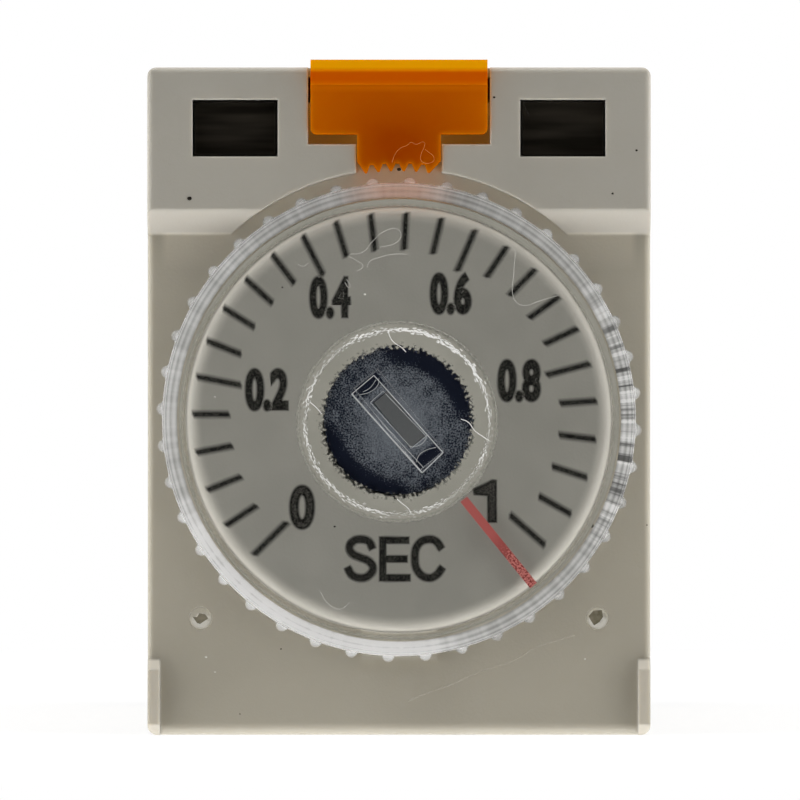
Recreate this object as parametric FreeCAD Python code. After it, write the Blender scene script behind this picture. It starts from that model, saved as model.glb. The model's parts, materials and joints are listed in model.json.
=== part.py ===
import FreeCAD
import Part

import math
import os

from FreeCAD import Vector

# Plug-in timer relay: a moulded case with a clear setting dial and an orange dial lock on its front,
# two circuit boards behind them, and a two-pole relay on a base with eight blades.
#
# Frame, in millimetres: the origin is the middle of the base's seating face. X runs right and Z runs up
# as the front is seen, and the front faces -Y. A depth is measured forward from the seating face, so
# that a depth d lies at y = -d.

# Case
CASE_WIDTH = 21.1
CASE_HEIGHT = 28.0
CASE_WALL = 1.1
FRONT_WALL = 1.5
CASE_CORNER_RADIUS = 0.4
PANEL_EDGE_RADIUS = 0.25
LOWER_EDGE_RADIUS = 0.5
HEADER_HEIGHT = 7.0
HEADER_RISE = 1.2
HEADER_BEVEL = 1.05
CORNER_RIB_WIDTH = 0.52
CORNER_RIB_LENGTH = 3.2
CORNER_RIB_RISE = 0.45
GATE_MARK_RADIUS = 0.42
GATE_MARK_DEPTH = 0.3
GATE_MARK_SPREAD = 16.66
GATE_MARK_HEIGHT = 4.9
BOARD_POST = 2.6
POST_SINK = 0.2
STAKE = 0.9
STAKE_HEAD = 0.5

# Lamp windows and their smoked lenses
LAMP_WIDTH = 3.57
LAMP_HEIGHT = 2.38
LAMP_SIDE_INSET = 1.9
LAMP_TOP_INSET = 1.36
LENS_RECESS = 0.35
LENS_LIP = 0.3
LENS_LIP_DEPTH = 0.8
LENS_EDGE_RADIUS = 0.12
LED_WIDTH = 3.0
LED_HEIGHT = 1.9
LED_LENGTH = 4.0
LED_LENS_GAP = 0.3
LED_LEG = 0.5
LED_LEG_SPACING = 1.9

# Dial and scale plate
DIAL_DROP = 0.75
DIAL_ROOT_RADIUS = 9.9
DIAL_SKIRT_WALL = 0.65
DIAL_FACE = 0.9
DIAL_EDGE_CHAMFER = 0.25
RIDGE_COUNT = 40
RIDGE_HEIGHT = 0.3
RIDGE_HALF_WIDTH = 0.26
RIDGE_CREST_HALF_WIDTH = 0.09
RIDGE_SETBACK = 0.35
RIDGE_LEAD = 5.6
POINTER_ANGLE = 141.0
POINTER_START = 4.25
POINTER_END = 8.85
POINTER_WIDTH = 0.42
POINTER_GROOVE = 0.12
HUB_RADIUS = 4.0
HUB_REACH = 0.9
HUB_FLOOR = 0.35
SLOT_WIDTH = 1.28
SLOT_LENGTH = 4.4
SLOT_DEPTH = 0.8
KEY_WIDTH = 0.77
KEY_LENGTH = 2.43
KEY_DEPTH = 1.0
PLATE_RADIUS = 8.9
PLATE_THICKNESS = 1.4
PLATE_EDGE_CHAMFER = 0.35
PLATE_BOSS_WALL = 0.85
PLATE_TAB_WIDTH = 3.2
PLATE_TAB_REACH = 1.2
PLATE_TAB_THICKNESS = 0.4

# Dial lock: a T-shaped slider in a T-shaped slot of the header
LEVER_HEAD_WIDTH = 7.41
LEVER_HEAD_HEIGHT = 3.12
LEVER_OVERHANG = 0.31
LEVER_STEM_WIDTH = 3.5
LEVER_PROUD = 0.1
LEVER_LIP_HEIGHT = 1.05
LEVER_LIP_CREST = 0.42
LEVER_LIP_RISE = 0.5
LEVER_CORNER_RADIUS = 0.25
LEVER_FOOT_CHAMFER = 0.2
LEVER_LEG_WIDTH = 0.55
LEVER_LEG_HEIGHT = 0.6
LEVER_LEG_INSET = 0.15
LEVER_LEG_TOP = 0.75
LEVER_LEG_DEPTH = 0.8
LEVER_BARB = 0.2
LEVER_BARB_DEPTH = 0.3
LOCK_TRAVEL = 0.37
LOCK_GAP = 0.21
TEETH_PER_RIDGE = 3
TOOTH_DEPTH = 0.32
TOOTH_TIP = 0.08
TOOTH_BASE = 0.4

# Potentiometer
POT_RADIUS = 4.6
POT_WALL = 0.5
POT_BACK = 0.8
POT_COVER = 0.5
POT_DEPTH = 5.0
POT_FRONT_GAP = 0.2
ROTOR_RADIUS = 3.15
ROTOR_DRUM_RADIUS = 3.9
TRACK_INNER_RADIUS = 2.3
TRACK_WIDTH = 1.0
TRACK_THICKNESS = 0.1
TRACK_SWEEP = 280.0
WIPER_GAP = 0.9
WIPER_THICKNESS = 0.2
WIPER_INNER_RADIUS = 1.2
WIPER_OUTER_RADIUS = 3.5
WIPER_FINGER = 0.6
POT_PIN = 0.6
POT_PIN_CIRCLE = 3.6
POT_PIN_ANGLES = (120.0, 180.0, 240.0)

# Circuit boards and what they carry
BOARD_THICKNESS = 1.2
BOARD_SPACE = 11.0
BOARD_EDGE_GAP = 0.25
BOARD_CLEARANCE = 1.2
PIN_STICK_OUT = 0.8
BOARD_PIN = 0.6
BOARD_PIN_COUNT = 5
BOARD_PIN_PITCH = 2.0
BOARD_PIN_INSET = 1.5
CAN_RADIUS = 3.15
CAN_HEADROOM = 1.2
CAN_CRIMP_DEPTH = 0.35
CAN_SEAT_SIZE = 6.6
CAN_SEAT_THICKNESS = 0.8
CAN_X = -4.6
CAN_Z = 6.0
RECTIFIER_WIDTH = 6.5
RECTIFIER_HEIGHT = 4.6
RECTIFIER_THICKNESS = 2.4
RECTIFIER_X = 4.6
RECTIFIER_Z = 7.0
DROPPER_WIDTH = 3.2
DROPPER_HEIGHT = 6.4
DROPPER_THICKNESS = 0.7
DROPPER_X = 4.6
DROPPER_Z = -2.0
TRANSISTOR_WIDTH = 4.5
TRANSISTOR_HEIGHT = 2.5
TRANSISTOR_THICKNESS = 1.5
TRANSISTOR_X = -4.6
TRANSISTOR_Z = -4.0
CHIP_WIDTH = 9.9
CHIP_HEIGHT = 3.9
CHIP_THICKNESS = 1.5
CHIP_Z = 7.6
CHIP_LEG_COUNT = 8
CHIP_LEG_PITCH = 1.27
FILM_WIDTH = 7.2
FILM_HEIGHT = 3.0
FILM_THICKNESS = 4.5
FILM_Z = -7.6
CHIP_RESISTOR_LENGTH = 1.6
CHIP_RESISTOR_WIDTH = 0.8
CHIP_RESISTOR_THICKNESS = 0.5
CHIP_RESISTOR_COUNT = 4
CHIP_RESISTOR_PITCH = 2.6
CHIP_RESISTOR_Z = 1.6
LEG_THICKNESS = 0.25
LEG_WIDTH = 0.45
LEG_REACH = 0.9

# Base and blades
BASE_FLANGE = 1.6
BASE_PLUG = 4.9
BLADE_WIDTH = 2.5
BLADE_THICKNESS = 0.5
BLADE_LENGTH = 6.4
BLADE_TAPER = 1.2
BLADE_TIP_WIDTH = 1.5
EYELET_RADIUS = 0.55
EYELET_FROM_TIP = 2.6
BLADE_POCKET = 0.45
BLADE_POCKET_DEPTH = 0.4
TERMINAL_SPACING = 13.2
ROW_NO = 8.4
ROW_NC = 4.3
ROW_COM = -2.05
ROW_SUPPLY = -8.4
SNAP_LENGTH = 3.0
SNAP_DEPTH = 1.4
SNAP_SPREAD = 15.0
SNAP_SETBACK = 1.2
SNAP_RECESS = 0.2
PEG = 1.4
PEG_SPREAD = 7.0

# Relay magnet
COIL_FLOOR_GAP = 1.1
FLANGE_SIZE = 12.4
FLANGE_THICKNESS = 1.0
BOBBIN_LENGTH = 17.0
BOBBIN_WALL = 0.6
WINDING_RADIUS = 5.6
CORE_RADIUS = 3.0
CORE_TAIL_RADIUS = 1.5
POLE_RADIUS = 4.2
POLE_THICKNESS = 1.0
YOKE_WIDTH = 10.0
YOKE_THICKNESS = 1.5
HEEL_DROP = 4.6
COIL_PIN = 0.6
COIL_PIN_INSET = 0.8
STRAP_WIDTH = 1.25
STRAP_GAP = 0.4

# Armature and contacts
ARMATURE_ANGLE = 4.5
ARMATURE_WIDTH = 10.0
ARMATURE_THICKNESS = 1.2
ARMATURE_ARM_LENGTH = 8.0
ARMATURE_ARM_WIDTH = 7.0
ARMATURE_TONGUE_WIDTH = 2.6
CARRIER_HEIGHT = 3.2
CARRIER_SETBACK = 2.5
CARRIER_SIDE_WALL = 0.5
CARRIER_OVERHANG = 0.6
CARRIER_PIN = 1.1
CARRIER_PIN_SPREAD = 4.4
MOVING_SPRING_WIDTH = 2.2
MOVING_SPRING_THICKNESS = 0.2
MOVING_SPRING_END = 1.3
MOVING_SPRING_TAIL = 1.2
CONTACT_REACH = 5.6
CONTACT_RADIUS = 0.9
CONTACT_HEIGHT = 0.5
FIXED_STRIP_END = 1.4
BRAID_WIDTH = 0.9
BRAID_THICKNESS = 0.3
BRAID_BEND = 1.0
BRAID_LEAD = 0.4
BRAID_OFFSET = 0.6
RETURN_SPRING_WIDTH = 2.0
RETURN_SPRING_HEIGHT = 1.7
RETURN_SPRING_THICKNESS = 0.15
RETURN_SPRING_FOLD = 0.3
RETURN_SPRING_GAP = 0.1

# Clearances
FIT = 0.05
SLIDE_CLEARANCE = 0.11
SKIRT_GAP = 0.25
DIAL_PLATE_GAP = 0.25
HUB_CLEARANCE = 0.15
HEADER_CLEARANCE = 0.3
SNAP_CLEARANCE = 0.1
PLUG_CLEARANCE = 0.08
RUNNING_CLEARANCE = 0.06

# How close two places must be to count as one when edges are picked for rounding
TOLERANCE = 1e-6

# Places that follow from the sizes above
half_width = CASE_WIDTH / 2
half_height = CASE_HEIGHT / 2
inner_half_width = half_width - CASE_WALL
inner_half_height = half_height - CASE_WALL
header_foot = half_height - HEADER_HEIGHT
dial_z = -DIAL_DROP
column_x = TERMINAL_SPACING / 2

base_front = BASE_FLANGE + BASE_PLUG
coil_z = -inner_half_height + COIL_FLOOR_GAP + FLANGE_SIZE / 2
bobbin_back = base_front + YOKE_THICKNESS
bobbin_front = bobbin_back + BOBBIN_LENGTH
pole_face = bobbin_front + POLE_THICKNESS
yoke_under = coil_z + FLANGE_SIZE / 2 + FIT
yoke_top = yoke_under + YOKE_THICKNESS
hinge_depth = pole_face + FIT
hinge_z = yoke_top + FIT
swing = math.radians(ARMATURE_ANGLE)
arm_under = hinge_z + ARMATURE_ARM_LENGTH * math.sin(swing) + 2 * FIT
arm_top = arm_under + ARMATURE_THICKNESS
armature_foot = coil_z - POLE_RADIUS
return_spring_top = armature_foot - RETURN_SPRING_GAP
tongue_foot = return_spring_top - RETURN_SPRING_HEIGHT
spring_plane = arm_top + CARRIER_HEIGHT / 2
carrier_front = hinge_depth - CARRIER_SETBACK
spring_tail_front = carrier_front + MOVING_SPRING_TAIL
contact_depth = base_front + CONTACT_REACH
strap_inner = FLANGE_SIZE / 2 + STRAP_GAP
strap_outer = strap_inner + STRAP_WIDTH

# At rest the armature leans forward from its closed place, so its foot sets the room that it needs
armature_reach = (
    hinge_depth
    + ARMATURE_THICKNESS * math.cos(swing)
    + (hinge_z - tongue_foot) * math.sin(swing)
)
power_board_back = armature_reach + BOARD_CLEARANCE
power_board_front = power_board_back + BOARD_THICKNESS
front_board_back = power_board_front + BOARD_SPACE
front_board_front = front_board_back + BOARD_THICKNESS
pot_front = front_board_front + POT_DEPTH
wall_inside = pot_front + POT_FRONT_GAP
panel = wall_inside + FRONT_WALL
header = panel + HEADER_RISE

plate_front = panel + PLATE_THICKNESS
dial_back = panel + PLATE_TAB_THICKNESS + SKIRT_GAP
dial_under = plate_front + DIAL_PLATE_GAP
dial_front = dial_under + DIAL_FACE
hub_back = panel - HUB_REACH
socket_floor = dial_under - HUB_FLOOR
plate_bore = HUB_RADIUS + HUB_CLEARANCE
plate_boss_radius = plate_bore + PLATE_BOSS_WALL
ridge_tip = DIAL_ROOT_RADIUS + RIDGE_HEIGHT
ridge_pitch = 360.0 / RIDGE_COUNT

lamp_x = half_width - LAMP_SIDE_INSET - LAMP_WIDTH / 2
lamp_z = half_height - LAMP_TOP_INSET - LAMP_HEIGHT / 2
bay_front = header - FRONT_WALL
lens_back = bay_front - LENS_LIP_DEPTH
led_front = lens_back - LED_LENS_GAP
led_back = led_front - LED_LENGTH

lever_top = half_height + LEVER_OVERHANG
lever_head_foot = lever_top - LEVER_HEAD_HEIGHT
lever_front = header + LEVER_PROUD
lever_leg_outer = LEVER_HEAD_WIDTH / 2 - LEVER_LEG_INSET
lever_leg_top = lever_top - LEVER_LEG_TOP
slot_half = LEVER_HEAD_WIDTH / 2 + SLIDE_CLEARANCE
stem_slot_half = LEVER_STEM_WIDTH / 2 + FIT
slot_shelf = lever_head_foot - LOCK_TRAVEL - FIT

post_x = inner_half_width - BOARD_POST / 2 + POST_SINK
post_heights = (
    header_foot - BOARD_POST / 2 - POST_SINK,
    -inner_half_height + BOARD_POST / 2 - POST_SINK,
)
post_places = [(x, z) for z in post_heights for x in (-post_x, post_x)]
board_half_width = inner_half_width - BOARD_EDGE_GAP
board_half_height = inner_half_height - BOARD_EDGE_GAP
board_pin_z = -board_half_height + BOARD_PIN_INSET


# Shape helpers
def block(x0, x1, d0, d1, z0, z1):
    """A box between two depths."""
    return Part.makeBox(x1 - x0, d1 - d0, z1 - z0, Vector(x0, -d1, z0))


def centred_block(x, z, width, height, d0, d1):
    """A box round a point of the front view, between two depths."""
    return block(x - width / 2, x + width / 2, d0, d1, z - height / 2, z + height / 2)


def rod(radius, d0, d1, x=0.0, z=0.0):
    """A round bar along the depth."""
    return Part.makeCylinder(radius, d1 - d0, Vector(x, -d0, z), Vector(0, -1, 0))


def stud(radius, x, d, z0, z1):
    """A round bar along Z."""
    return Part.makeCylinder(radius, z1 - z0, Vector(x, -d, z0))


def shank(size, x, d, z0, z1):
    """A square bar along Z."""
    return block(x - size / 2, x + size / 2, d - size / 2, d + size / 2, z0, z1)


def face_of(points):
    return Part.Face(Part.makePolygon(points + points[:1]))


def front_plate(points, d0, d1):
    """An outline of (x, z) points, extruded between two depths."""
    return face_of([Vector(x, -d0, z) for x, z in points]).extrude(Vector(0, d0 - d1, 0))


def side_plate(points, x0, x1):
    """An outline of (depth, z) points, extruded across X."""
    return face_of([Vector(x0, -d, z) for d, z in points]).extrude(Vector(x1 - x0, 0, 0))


def stamping(points, z, thickness):
    """An outline of (x, depth) points, cut from strip that lies at height z."""
    lower = z - thickness / 2
    return face_of([Vector(x, -d, lower) for x, d in points]).extrude(Vector(0, 0, thickness))


def turned(points, z, sweep=360.0):
    """An outline of (radius, depth) points, turned about an axis along the depth at height z."""
    outline = face_of([Vector(r, -d, z) for r, d in points])
    return outline.revolve(Vector(0, 0, z), Vector(0, 1, 0), sweep)


def rounded(shape, radius, test):
    """The shape with the edges that the test picks rounded."""
    return shape.makeFillet(radius, [edge for edge in shape.Edges if test(edge)])


def runs_along(edge, axis):
    """Whether a straight edge is parallel to an axis."""
    if len(edge.Vertexes) < 2:
        return False
    start, end = (vertex.Point for vertex in edge.Vertexes)
    return abs((end - start).normalize().dot(axis)) > 1 - TOLERANCE


def long_edges_rounded(shape, radius):
    return rounded(shape, radius, lambda edge: runs_along(edge, Vector(0, 1, 0)))


def mirrored(shape):
    return shape.mirror(Vector(0, 0, 0), Vector(1, 0, 0))


def turned_to_pointer(shape):
    """A dial piece that was drawn with its pointer up, turned to where the pointer stands."""
    shape.rotate(Vector(0, 0, dial_z), Vector(0, 1, 0), POINTER_ANGLE)
    return shape


def at_rest(shape):
    """An armature piece that was drawn with the magnet closed, swung open."""
    shape.rotate(Vector(0, -hinge_depth, hinge_z), Vector(1, 0, 0), -ARMATURE_ANGLE)
    return shape


def rest_point(depth, z):
    """Where a point of the closed armature, given as depth and height, lies at rest."""
    back, up = hinge_depth - depth, z - hinge_z
    return (
        hinge_depth - back * math.cos(swing) - up * math.sin(swing),
        hinge_z - back * math.sin(swing) + up * math.cos(swing),
    )


def polar(radius, angle, lift=0.0):
    """A point of the front view round the dial, or a lifted centre, at an angle clockwise from the top."""
    turn = math.radians(angle)
    return radius * math.sin(turn), dial_z + lift + radius * math.cos(turn)


# Case
def front_rounded(shape, depth):
    def at_front(edge):
        return runs_along(edge, Vector(0, 0, 1)) and abs(edge.BoundBox.YMin + depth) < TOLERANCE

    return rounded(shape, PANEL_EDGE_RADIUS, at_front)


def case_outline(d0, d1):
    """The case's rounded rectangle as seen from the front, between two depths."""
    return long_edges_rounded(centred_block(0, 0, CASE_WIDTH, CASE_HEIGHT, d0, d1), CASE_CORNER_RADIUS)


def case_side_view():
    """The case's outline from the side: rounded lower edge, panel, bevelled header, rounded top edge."""
    edge = PANEL_EDGE_RADIUS
    lower = LOWER_EDGE_RADIUS
    bulge = 1 - math.sqrt(0.5)
    lower_mid = (panel - lower * bulge, -half_height + lower * bulge)
    upper_mid = (header - edge * bulge, half_height - edge * bulge)

    def at(point):
        return Vector(-half_width, -point[0], point[1])

    def line(a, b):
        return Part.LineSegment(at(a), at(b)).toShape()

    def arc(a, middle, b):
        return Part.Arc(at(a), at(middle), at(b)).toShape()

    corners = [
        (BASE_FLANGE, -half_height),
        (panel - lower, -half_height),
        (panel, -half_height + lower),
        (panel, header_foot),
        (header, header_foot + HEADER_BEVEL),
        (header, half_height - edge),
        (header - edge, half_height),
        (BASE_FLANGE, half_height),
    ]
    edges = [
        line(corners[0], corners[1]),
        arc(corners[1], lower_mid, corners[2]),
        line(corners[2], corners[3]),
        line(corners[3], corners[4]),
        line(corners[4], corners[5]),
        arc(corners[5], upper_mid, corners[6]),
        line(corners[6], corners[7]),
        line(corners[7], corners[0]),
    ]
    return Part.Face(Part.Wire(edges)).extrude(Vector(CASE_WIDTH, 0, 0))


def corner_rib():
    """The short raised rib in the panel's lower right corner, bevelled at both ends."""
    foot = -half_height
    top = foot + CORNER_RIB_LENGTH
    crest = panel + CORNER_RIB_RISE
    root = panel - LOWER_EDGE_RADIUS
    outline = [
        (root, foot),
        (panel, foot),
        (crest, foot + CORNER_RIB_RISE),
        (crest, top - CORNER_RIB_RISE),
        (panel, top),
        (root, top),
    ]
    return side_plate(outline, half_width - CORNER_RIB_WIDTH, half_width)


def lever_slot():
    top = lever_top + HEADER_RISE
    foot = dial_z + DIAL_ROOT_RADIUS
    outline = [
        (-slot_half, top),
        (-slot_half, slot_shelf),
        (-stem_slot_half, slot_shelf),
        (-stem_slot_half, foot),
        (stem_slot_half, foot),
        (stem_slot_half, slot_shelf),
        (slot_half, slot_shelf),
        (slot_half, top),
    ]
    return front_plate(outline, panel, header + HEADER_RISE)


def lever_pocket():
    """The undercut pocket that holds one leg of the lock lever and lets it slide."""
    foot = lever_leg_top - LEVER_LEG_HEIGHT - LOCK_TRAVEL - FIT
    top = lever_leg_top + FIT
    inner = lever_leg_outer - LEVER_LEG_WIDTH - FIT
    floor = panel - LEVER_LEG_DEPTH - FIT
    shaft = block(inner, slot_half, floor, header, foot, top)
    barb_room = block(
        inner, lever_leg_outer + LEVER_BARB + FIT, floor, floor + LEVER_BARB_DEPTH + 2 * FIT, foot, top
    )
    return shaft.fuse(barb_room)


def lamp_bay():
    """The hollow behind a lamp window that takes the lens lip and the lamp."""
    side = LAMP_WIDTH / 2 + LENS_LIP + FIT
    foot = lamp_z - LAMP_HEIGHT / 2 - LENS_LIP - FIT
    bay = block(lamp_x - side, lamp_x + side, front_board_front, bay_front, foot, inner_half_height)
    return bay.fuse(centred_block(lamp_x, lamp_z, LAMP_WIDTH, LAMP_HEIGHT, bay_front, header + HEADER_RISE))


def snap_window():
    """An opening in the right wall for one of the base's snap nubs."""
    d0 = BASE_FLANGE + SNAP_SETBACK - SNAP_CLEARANCE
    d1 = d0 + SNAP_DEPTH + 2 * SNAP_CLEARANCE
    reach = SNAP_LENGTH / 2 + SNAP_CLEARANCE
    outside = half_width + CASE_WALL
    return [
        block(inner_half_width - FIT, outside, d0, d1, z - reach, z + reach)
        for z in (-SNAP_SPREAD / 2, SNAP_SPREAD / 2)
    ]


def board_posts():
    """Posts inside the front wall, with stakes that hold the front board."""
    posts = []
    for x, z in post_places:
        posts.append(centred_block(x, z, BOARD_POST, BOARD_POST, front_board_front, wall_inside + POST_SINK))
        posts.append(centred_block(x, z, STAKE, STAKE, front_board_back - STAKE_HEAD, front_board_front))
    return posts


def case():
    lower = front_rounded(centred_block(0, 0, CASE_WIDTH, CASE_HEIGHT, BASE_FLANGE, panel), panel)
    upper = block(-half_width, half_width, BASE_FLANGE, header, header_foot, half_height)
    upper = front_rounded(upper, header)
    outside = lower.fuse(upper).common(case_side_view())
    ribs = [corner_rib(), mirrored(corner_rib())]
    outside = outside.fuse(ribs).common(case_outline(BASE_FLANGE, header + HEADER_RISE))

    cavity = block(
        -inner_half_width, inner_half_width, 0, wall_inside, -inner_half_height, inner_half_height
    )
    gate_z = -half_height + GATE_MARK_HEIGHT
    right_cuts = [lever_pocket(), lamp_bay(), *snap_window()]
    right_cuts.append(rod(GATE_MARK_RADIUS, panel - GATE_MARK_DEPTH, header, GATE_MARK_SPREAD / 2, gate_z))
    cuts = [
        cavity,
        rod(ridge_tip + HEADER_CLEARANCE, panel, header + HEADER_RISE, z=dial_z),
        rod(plate_boss_radius, wall_inside - FRONT_WALL, header, z=dial_z),
        lever_slot(),
        *right_cuts,
        *[mirrored(cut) for cut in right_cuts],
    ]
    # A post runs into the side wall, so it is added to the hollow shell and stays inside the outline
    return outside.cut(cuts).fuse(board_posts()).removeSplitter()


def lens():
    """The smoked lens of the right-hand lamp window, held by a lip behind the wall."""
    nose = centred_block(
        lamp_x, lamp_z, LAMP_WIDTH - 2 * FIT, LAMP_HEIGHT - 2 * FIT, lens_back, header - LENS_RECESS
    )

    def at_front(edge):
        box = edge.BoundBox
        return abs(box.YMin + header - LENS_RECESS) < TOLERANCE and box.YLength < TOLERANCE

    nose = rounded(nose, LENS_EDGE_RADIUS, at_front)
    side = LAMP_WIDTH / 2 + LENS_LIP
    lip = block(
        lamp_x - side,
        lamp_x + side,
        lens_back,
        bay_front,
        lamp_z - LAMP_HEIGHT / 2 - LENS_LIP,
        lamp_z + LAMP_HEIGHT / 2 - FIT,
    )
    return nose.fuse(lip).removeSplitter()


# Dial, scale plate and lock
def scale_plate():
    shoulder = PLATE_RADIUS - PLATE_EDGE_CHAMFER
    disc = turned(
        [
            (0, panel),
            (PLATE_RADIUS, panel),
            (PLATE_RADIUS, plate_front - PLATE_EDGE_CHAMFER),
            (shoulder, plate_front),
            (0, plate_front),
        ],
        dial_z,
    )
    boss = rod(plate_boss_radius, wall_inside, panel, z=dial_z)
    tab_foot = dial_z - PLATE_RADIUS - PLATE_TAB_REACH
    tab_half = PLATE_TAB_WIDTH / 2
    tab = block(-tab_half, tab_half, panel, panel + PLATE_TAB_THICKNESS, tab_foot, dial_z)
    return disc.fuse([boss, tab]).cut(rod(plate_bore, wall_inside, plate_front, z=dial_z)).removeSplitter()


def dial_ridge(angle):
    """One blunt grip ridge on the dial's rim, a little short of the front edge."""
    root_half = math.degrees(RIDGE_HALF_WIDTH / DIAL_ROOT_RADIUS)
    crest_half = math.degrees(RIDGE_CREST_HALF_WIDTH / ridge_tip)
    sunk_root = DIAL_ROOT_RADIUS - FIT
    outline = [
        polar(sunk_root, angle - root_half),
        polar(ridge_tip, angle - crest_half),
        polar(ridge_tip, angle + crest_half),
        polar(sunk_root, angle + root_half),
    ]
    return front_plate(outline, dial_back, dial_front - RIDGE_SETBACK)


def time_dial():
    disc = turned(
        [
            (0, dial_back),
            (DIAL_ROOT_RADIUS, dial_back),
            (DIAL_ROOT_RADIUS, dial_front - DIAL_EDGE_CHAMFER),
            (DIAL_ROOT_RADIUS - DIAL_EDGE_CHAMFER, dial_front),
            (0, dial_front),
        ],
        dial_z,
    )
    ridges = [dial_ridge(RIDGE_LEAD + k * ridge_pitch) for k in range(RIDGE_COUNT)]
    skirt_inside = DIAL_ROOT_RADIUS - DIAL_SKIRT_WALL
    hollow = rod(skirt_inside, dial_back, dial_under, z=dial_z)
    hub = rod(HUB_RADIUS, hub_back, dial_under, z=dial_z)
    socket = rod(ROTOR_RADIUS, hub_back, socket_floor, z=dial_z)
    key = centred_block(0, dial_z, KEY_WIDTH, KEY_LENGTH, socket_floor - KEY_DEPTH, socket_floor)
    slot = centred_block(0, dial_z, SLOT_WIDTH, SLOT_LENGTH, dial_front - SLOT_DEPTH, dial_front)
    groove = block(
        -POINTER_WIDTH / 2,
        POINTER_WIDTH / 2,
        dial_under,
        dial_under + POINTER_GROOVE,
        dial_z + POINTER_START,
        dial_z + POINTER_END,
    )
    dial = disc.fuse(ridges).cut(hollow).fuse(hub).cut([socket, slot, groove]).fuse(key)
    return turned_to_pointer(dial.removeSplitter())


def lever_foot_outline():
    """The toothed lower edge of the lock lever, from left to right.

    The teeth lie on a circle round the dial once the lever is down, with gaps where the ridges stand.
    The outer flanks of the two end teeth run on into the chamfered corners of the stem.
    """
    tooth_pitch = ridge_pitch / TEETH_PER_RIDGE
    tip_radius = ridge_tip + LOCK_GAP - LOCK_TRAVEL
    root_radius = tip_radius + TOOTH_DEPTH
    tip_half = math.degrees(TOOTH_TIP / 2 / tip_radius)
    base_half = math.degrees(TOOTH_BASE / 2 / root_radius)
    ridge_angle = (POINTER_ANGLE + RIDGE_LEAD) % ridge_pitch
    stem_angle = math.degrees(math.asin(LEVER_STEM_WIDTH / 2 / root_radius))
    angles = [ridge_angle + (k + 0.5) * tooth_pitch for k in range(-RIDGE_COUNT, RIDGE_COUNT)]
    points = []
    for angle in angles:
        if abs(angle) < stem_angle - tooth_pitch / 2:
            points.append(polar(root_radius, angle - base_half, LOCK_TRAVEL))
            points.append(polar(tip_radius, angle - tip_half, LOCK_TRAVEL))
            points.append(polar(tip_radius, angle + tip_half, LOCK_TRAVEL))
            points.append(polar(root_radius, angle + base_half, LOCK_TRAVEL))
    return points


def lock_lever():
    head = LEVER_HEAD_WIDTH / 2
    stem = LEVER_STEM_WIDTH / 2
    teeth = lever_foot_outline()
    outline = [
        (-head, lever_top),
        (-head, lever_head_foot),
        (-stem, lever_head_foot),
        (-stem, teeth[0][1] + LEVER_FOOT_CHAMFER),
        *teeth[1:-1],
        (stem, teeth[-1][1] + LEVER_FOOT_CHAMFER),
        (stem, lever_head_foot),
        (head, lever_head_foot),
        (head, lever_top),
    ]
    body = front_plate(outline, panel + FIT, lever_front)

    def at_arm_corner(edge):
        box = edge.BoundBox
        level = abs(box.ZMin - lever_head_foot) < TOLERANCE
        return runs_along(edge, Vector(0, 1, 0)) and level and abs(abs(box.XMin) - head) < TOLERANCE

    body = rounded(body, LEVER_CORNER_RADIUS, at_arm_corner)
    lip_foot = lever_top - LEVER_LIP_HEIGHT
    lip_crest = lever_top - LEVER_LIP_CREST
    lip = side_plate(
        [
            (lever_front - FIT, lip_foot),
            (lever_front, lip_foot),
            (lever_front + LEVER_LIP_RISE, lip_crest),
            (lever_front + LEVER_LIP_RISE / 2, lever_top),
            (lever_front - FIT, lever_top),
        ],
        -head,
        head,
    )
    foot = lever_leg_top - LEVER_LEG_HEIGHT
    leg_end = panel - LEVER_LEG_DEPTH
    outer = lever_leg_outer
    leg = block(outer - LEVER_LEG_WIDTH, outer, leg_end, lever_front, foot, lever_leg_top)
    barb = block(outer - FIT, outer + LEVER_BARB, leg_end, leg_end + LEVER_BARB_DEPTH, foot, lever_leg_top)
    legs = [leg, barb, mirrored(leg), mirrored(barb)]
    return body.fuse([lip, *legs]).removeSplitter()


# Potentiometer
def pot_housing():
    """A cup that stands on the front board."""
    cup = rod(POT_RADIUS, front_board_front, pot_front - POT_COVER, z=dial_z)
    return cup.cut(rod(POT_RADIUS - POT_WALL, front_board_front + POT_BACK, pot_front, z=dial_z))


def pot_cover():
    disc = rod(POT_RADIUS, pot_front - POT_COVER, pot_front, z=dial_z)
    return disc.cut(rod(ROTOR_RADIUS + RUNNING_CLEARANCE, pot_front - POT_COVER, pot_front, z=dial_z))


track_face = front_board_front + POT_BACK + TRACK_THICKNESS
rotor_back = track_face + WIPER_GAP


def pot_rotor():
    """The rotor: a drum in the housing and a shaft that the dial's hub grips, with a driving slot."""
    drum_front = pot_front - POT_COVER - RUNNING_CLEARANCE
    rotor = rod(ROTOR_DRUM_RADIUS, rotor_back, drum_front, z=dial_z)
    rotor = rotor.fuse(rod(ROTOR_RADIUS, drum_front, socket_floor, z=dial_z))
    slot = centred_block(
        0,
        dial_z,
        KEY_WIDTH + 2 * FIT,
        KEY_LENGTH + 2 * FIT,
        socket_floor - KEY_DEPTH - FIT,
        socket_floor,
    )
    return turned_to_pointer(rotor.cut(slot).removeSplitter())


def pot_track():
    """The resistive track on the housing's floor, open at the bottom."""
    back = front_board_front + POT_BACK
    outer = TRACK_INNER_RADIUS + TRACK_WIDTH
    ring = turned(
        [(TRACK_INNER_RADIUS, back), (outer, back), (outer, track_face), (TRACK_INNER_RADIUS, track_face)],
        dial_z,
        TRACK_SWEEP,
    )
    # The sweep starts at +X and runs clockwise as seen from the front, so the gap is turned to the bottom
    ring.rotate(Vector(0, 0, dial_z), Vector(0, 1, 0), 90 + (360 - TRACK_SWEEP) / 2)
    return ring


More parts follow.
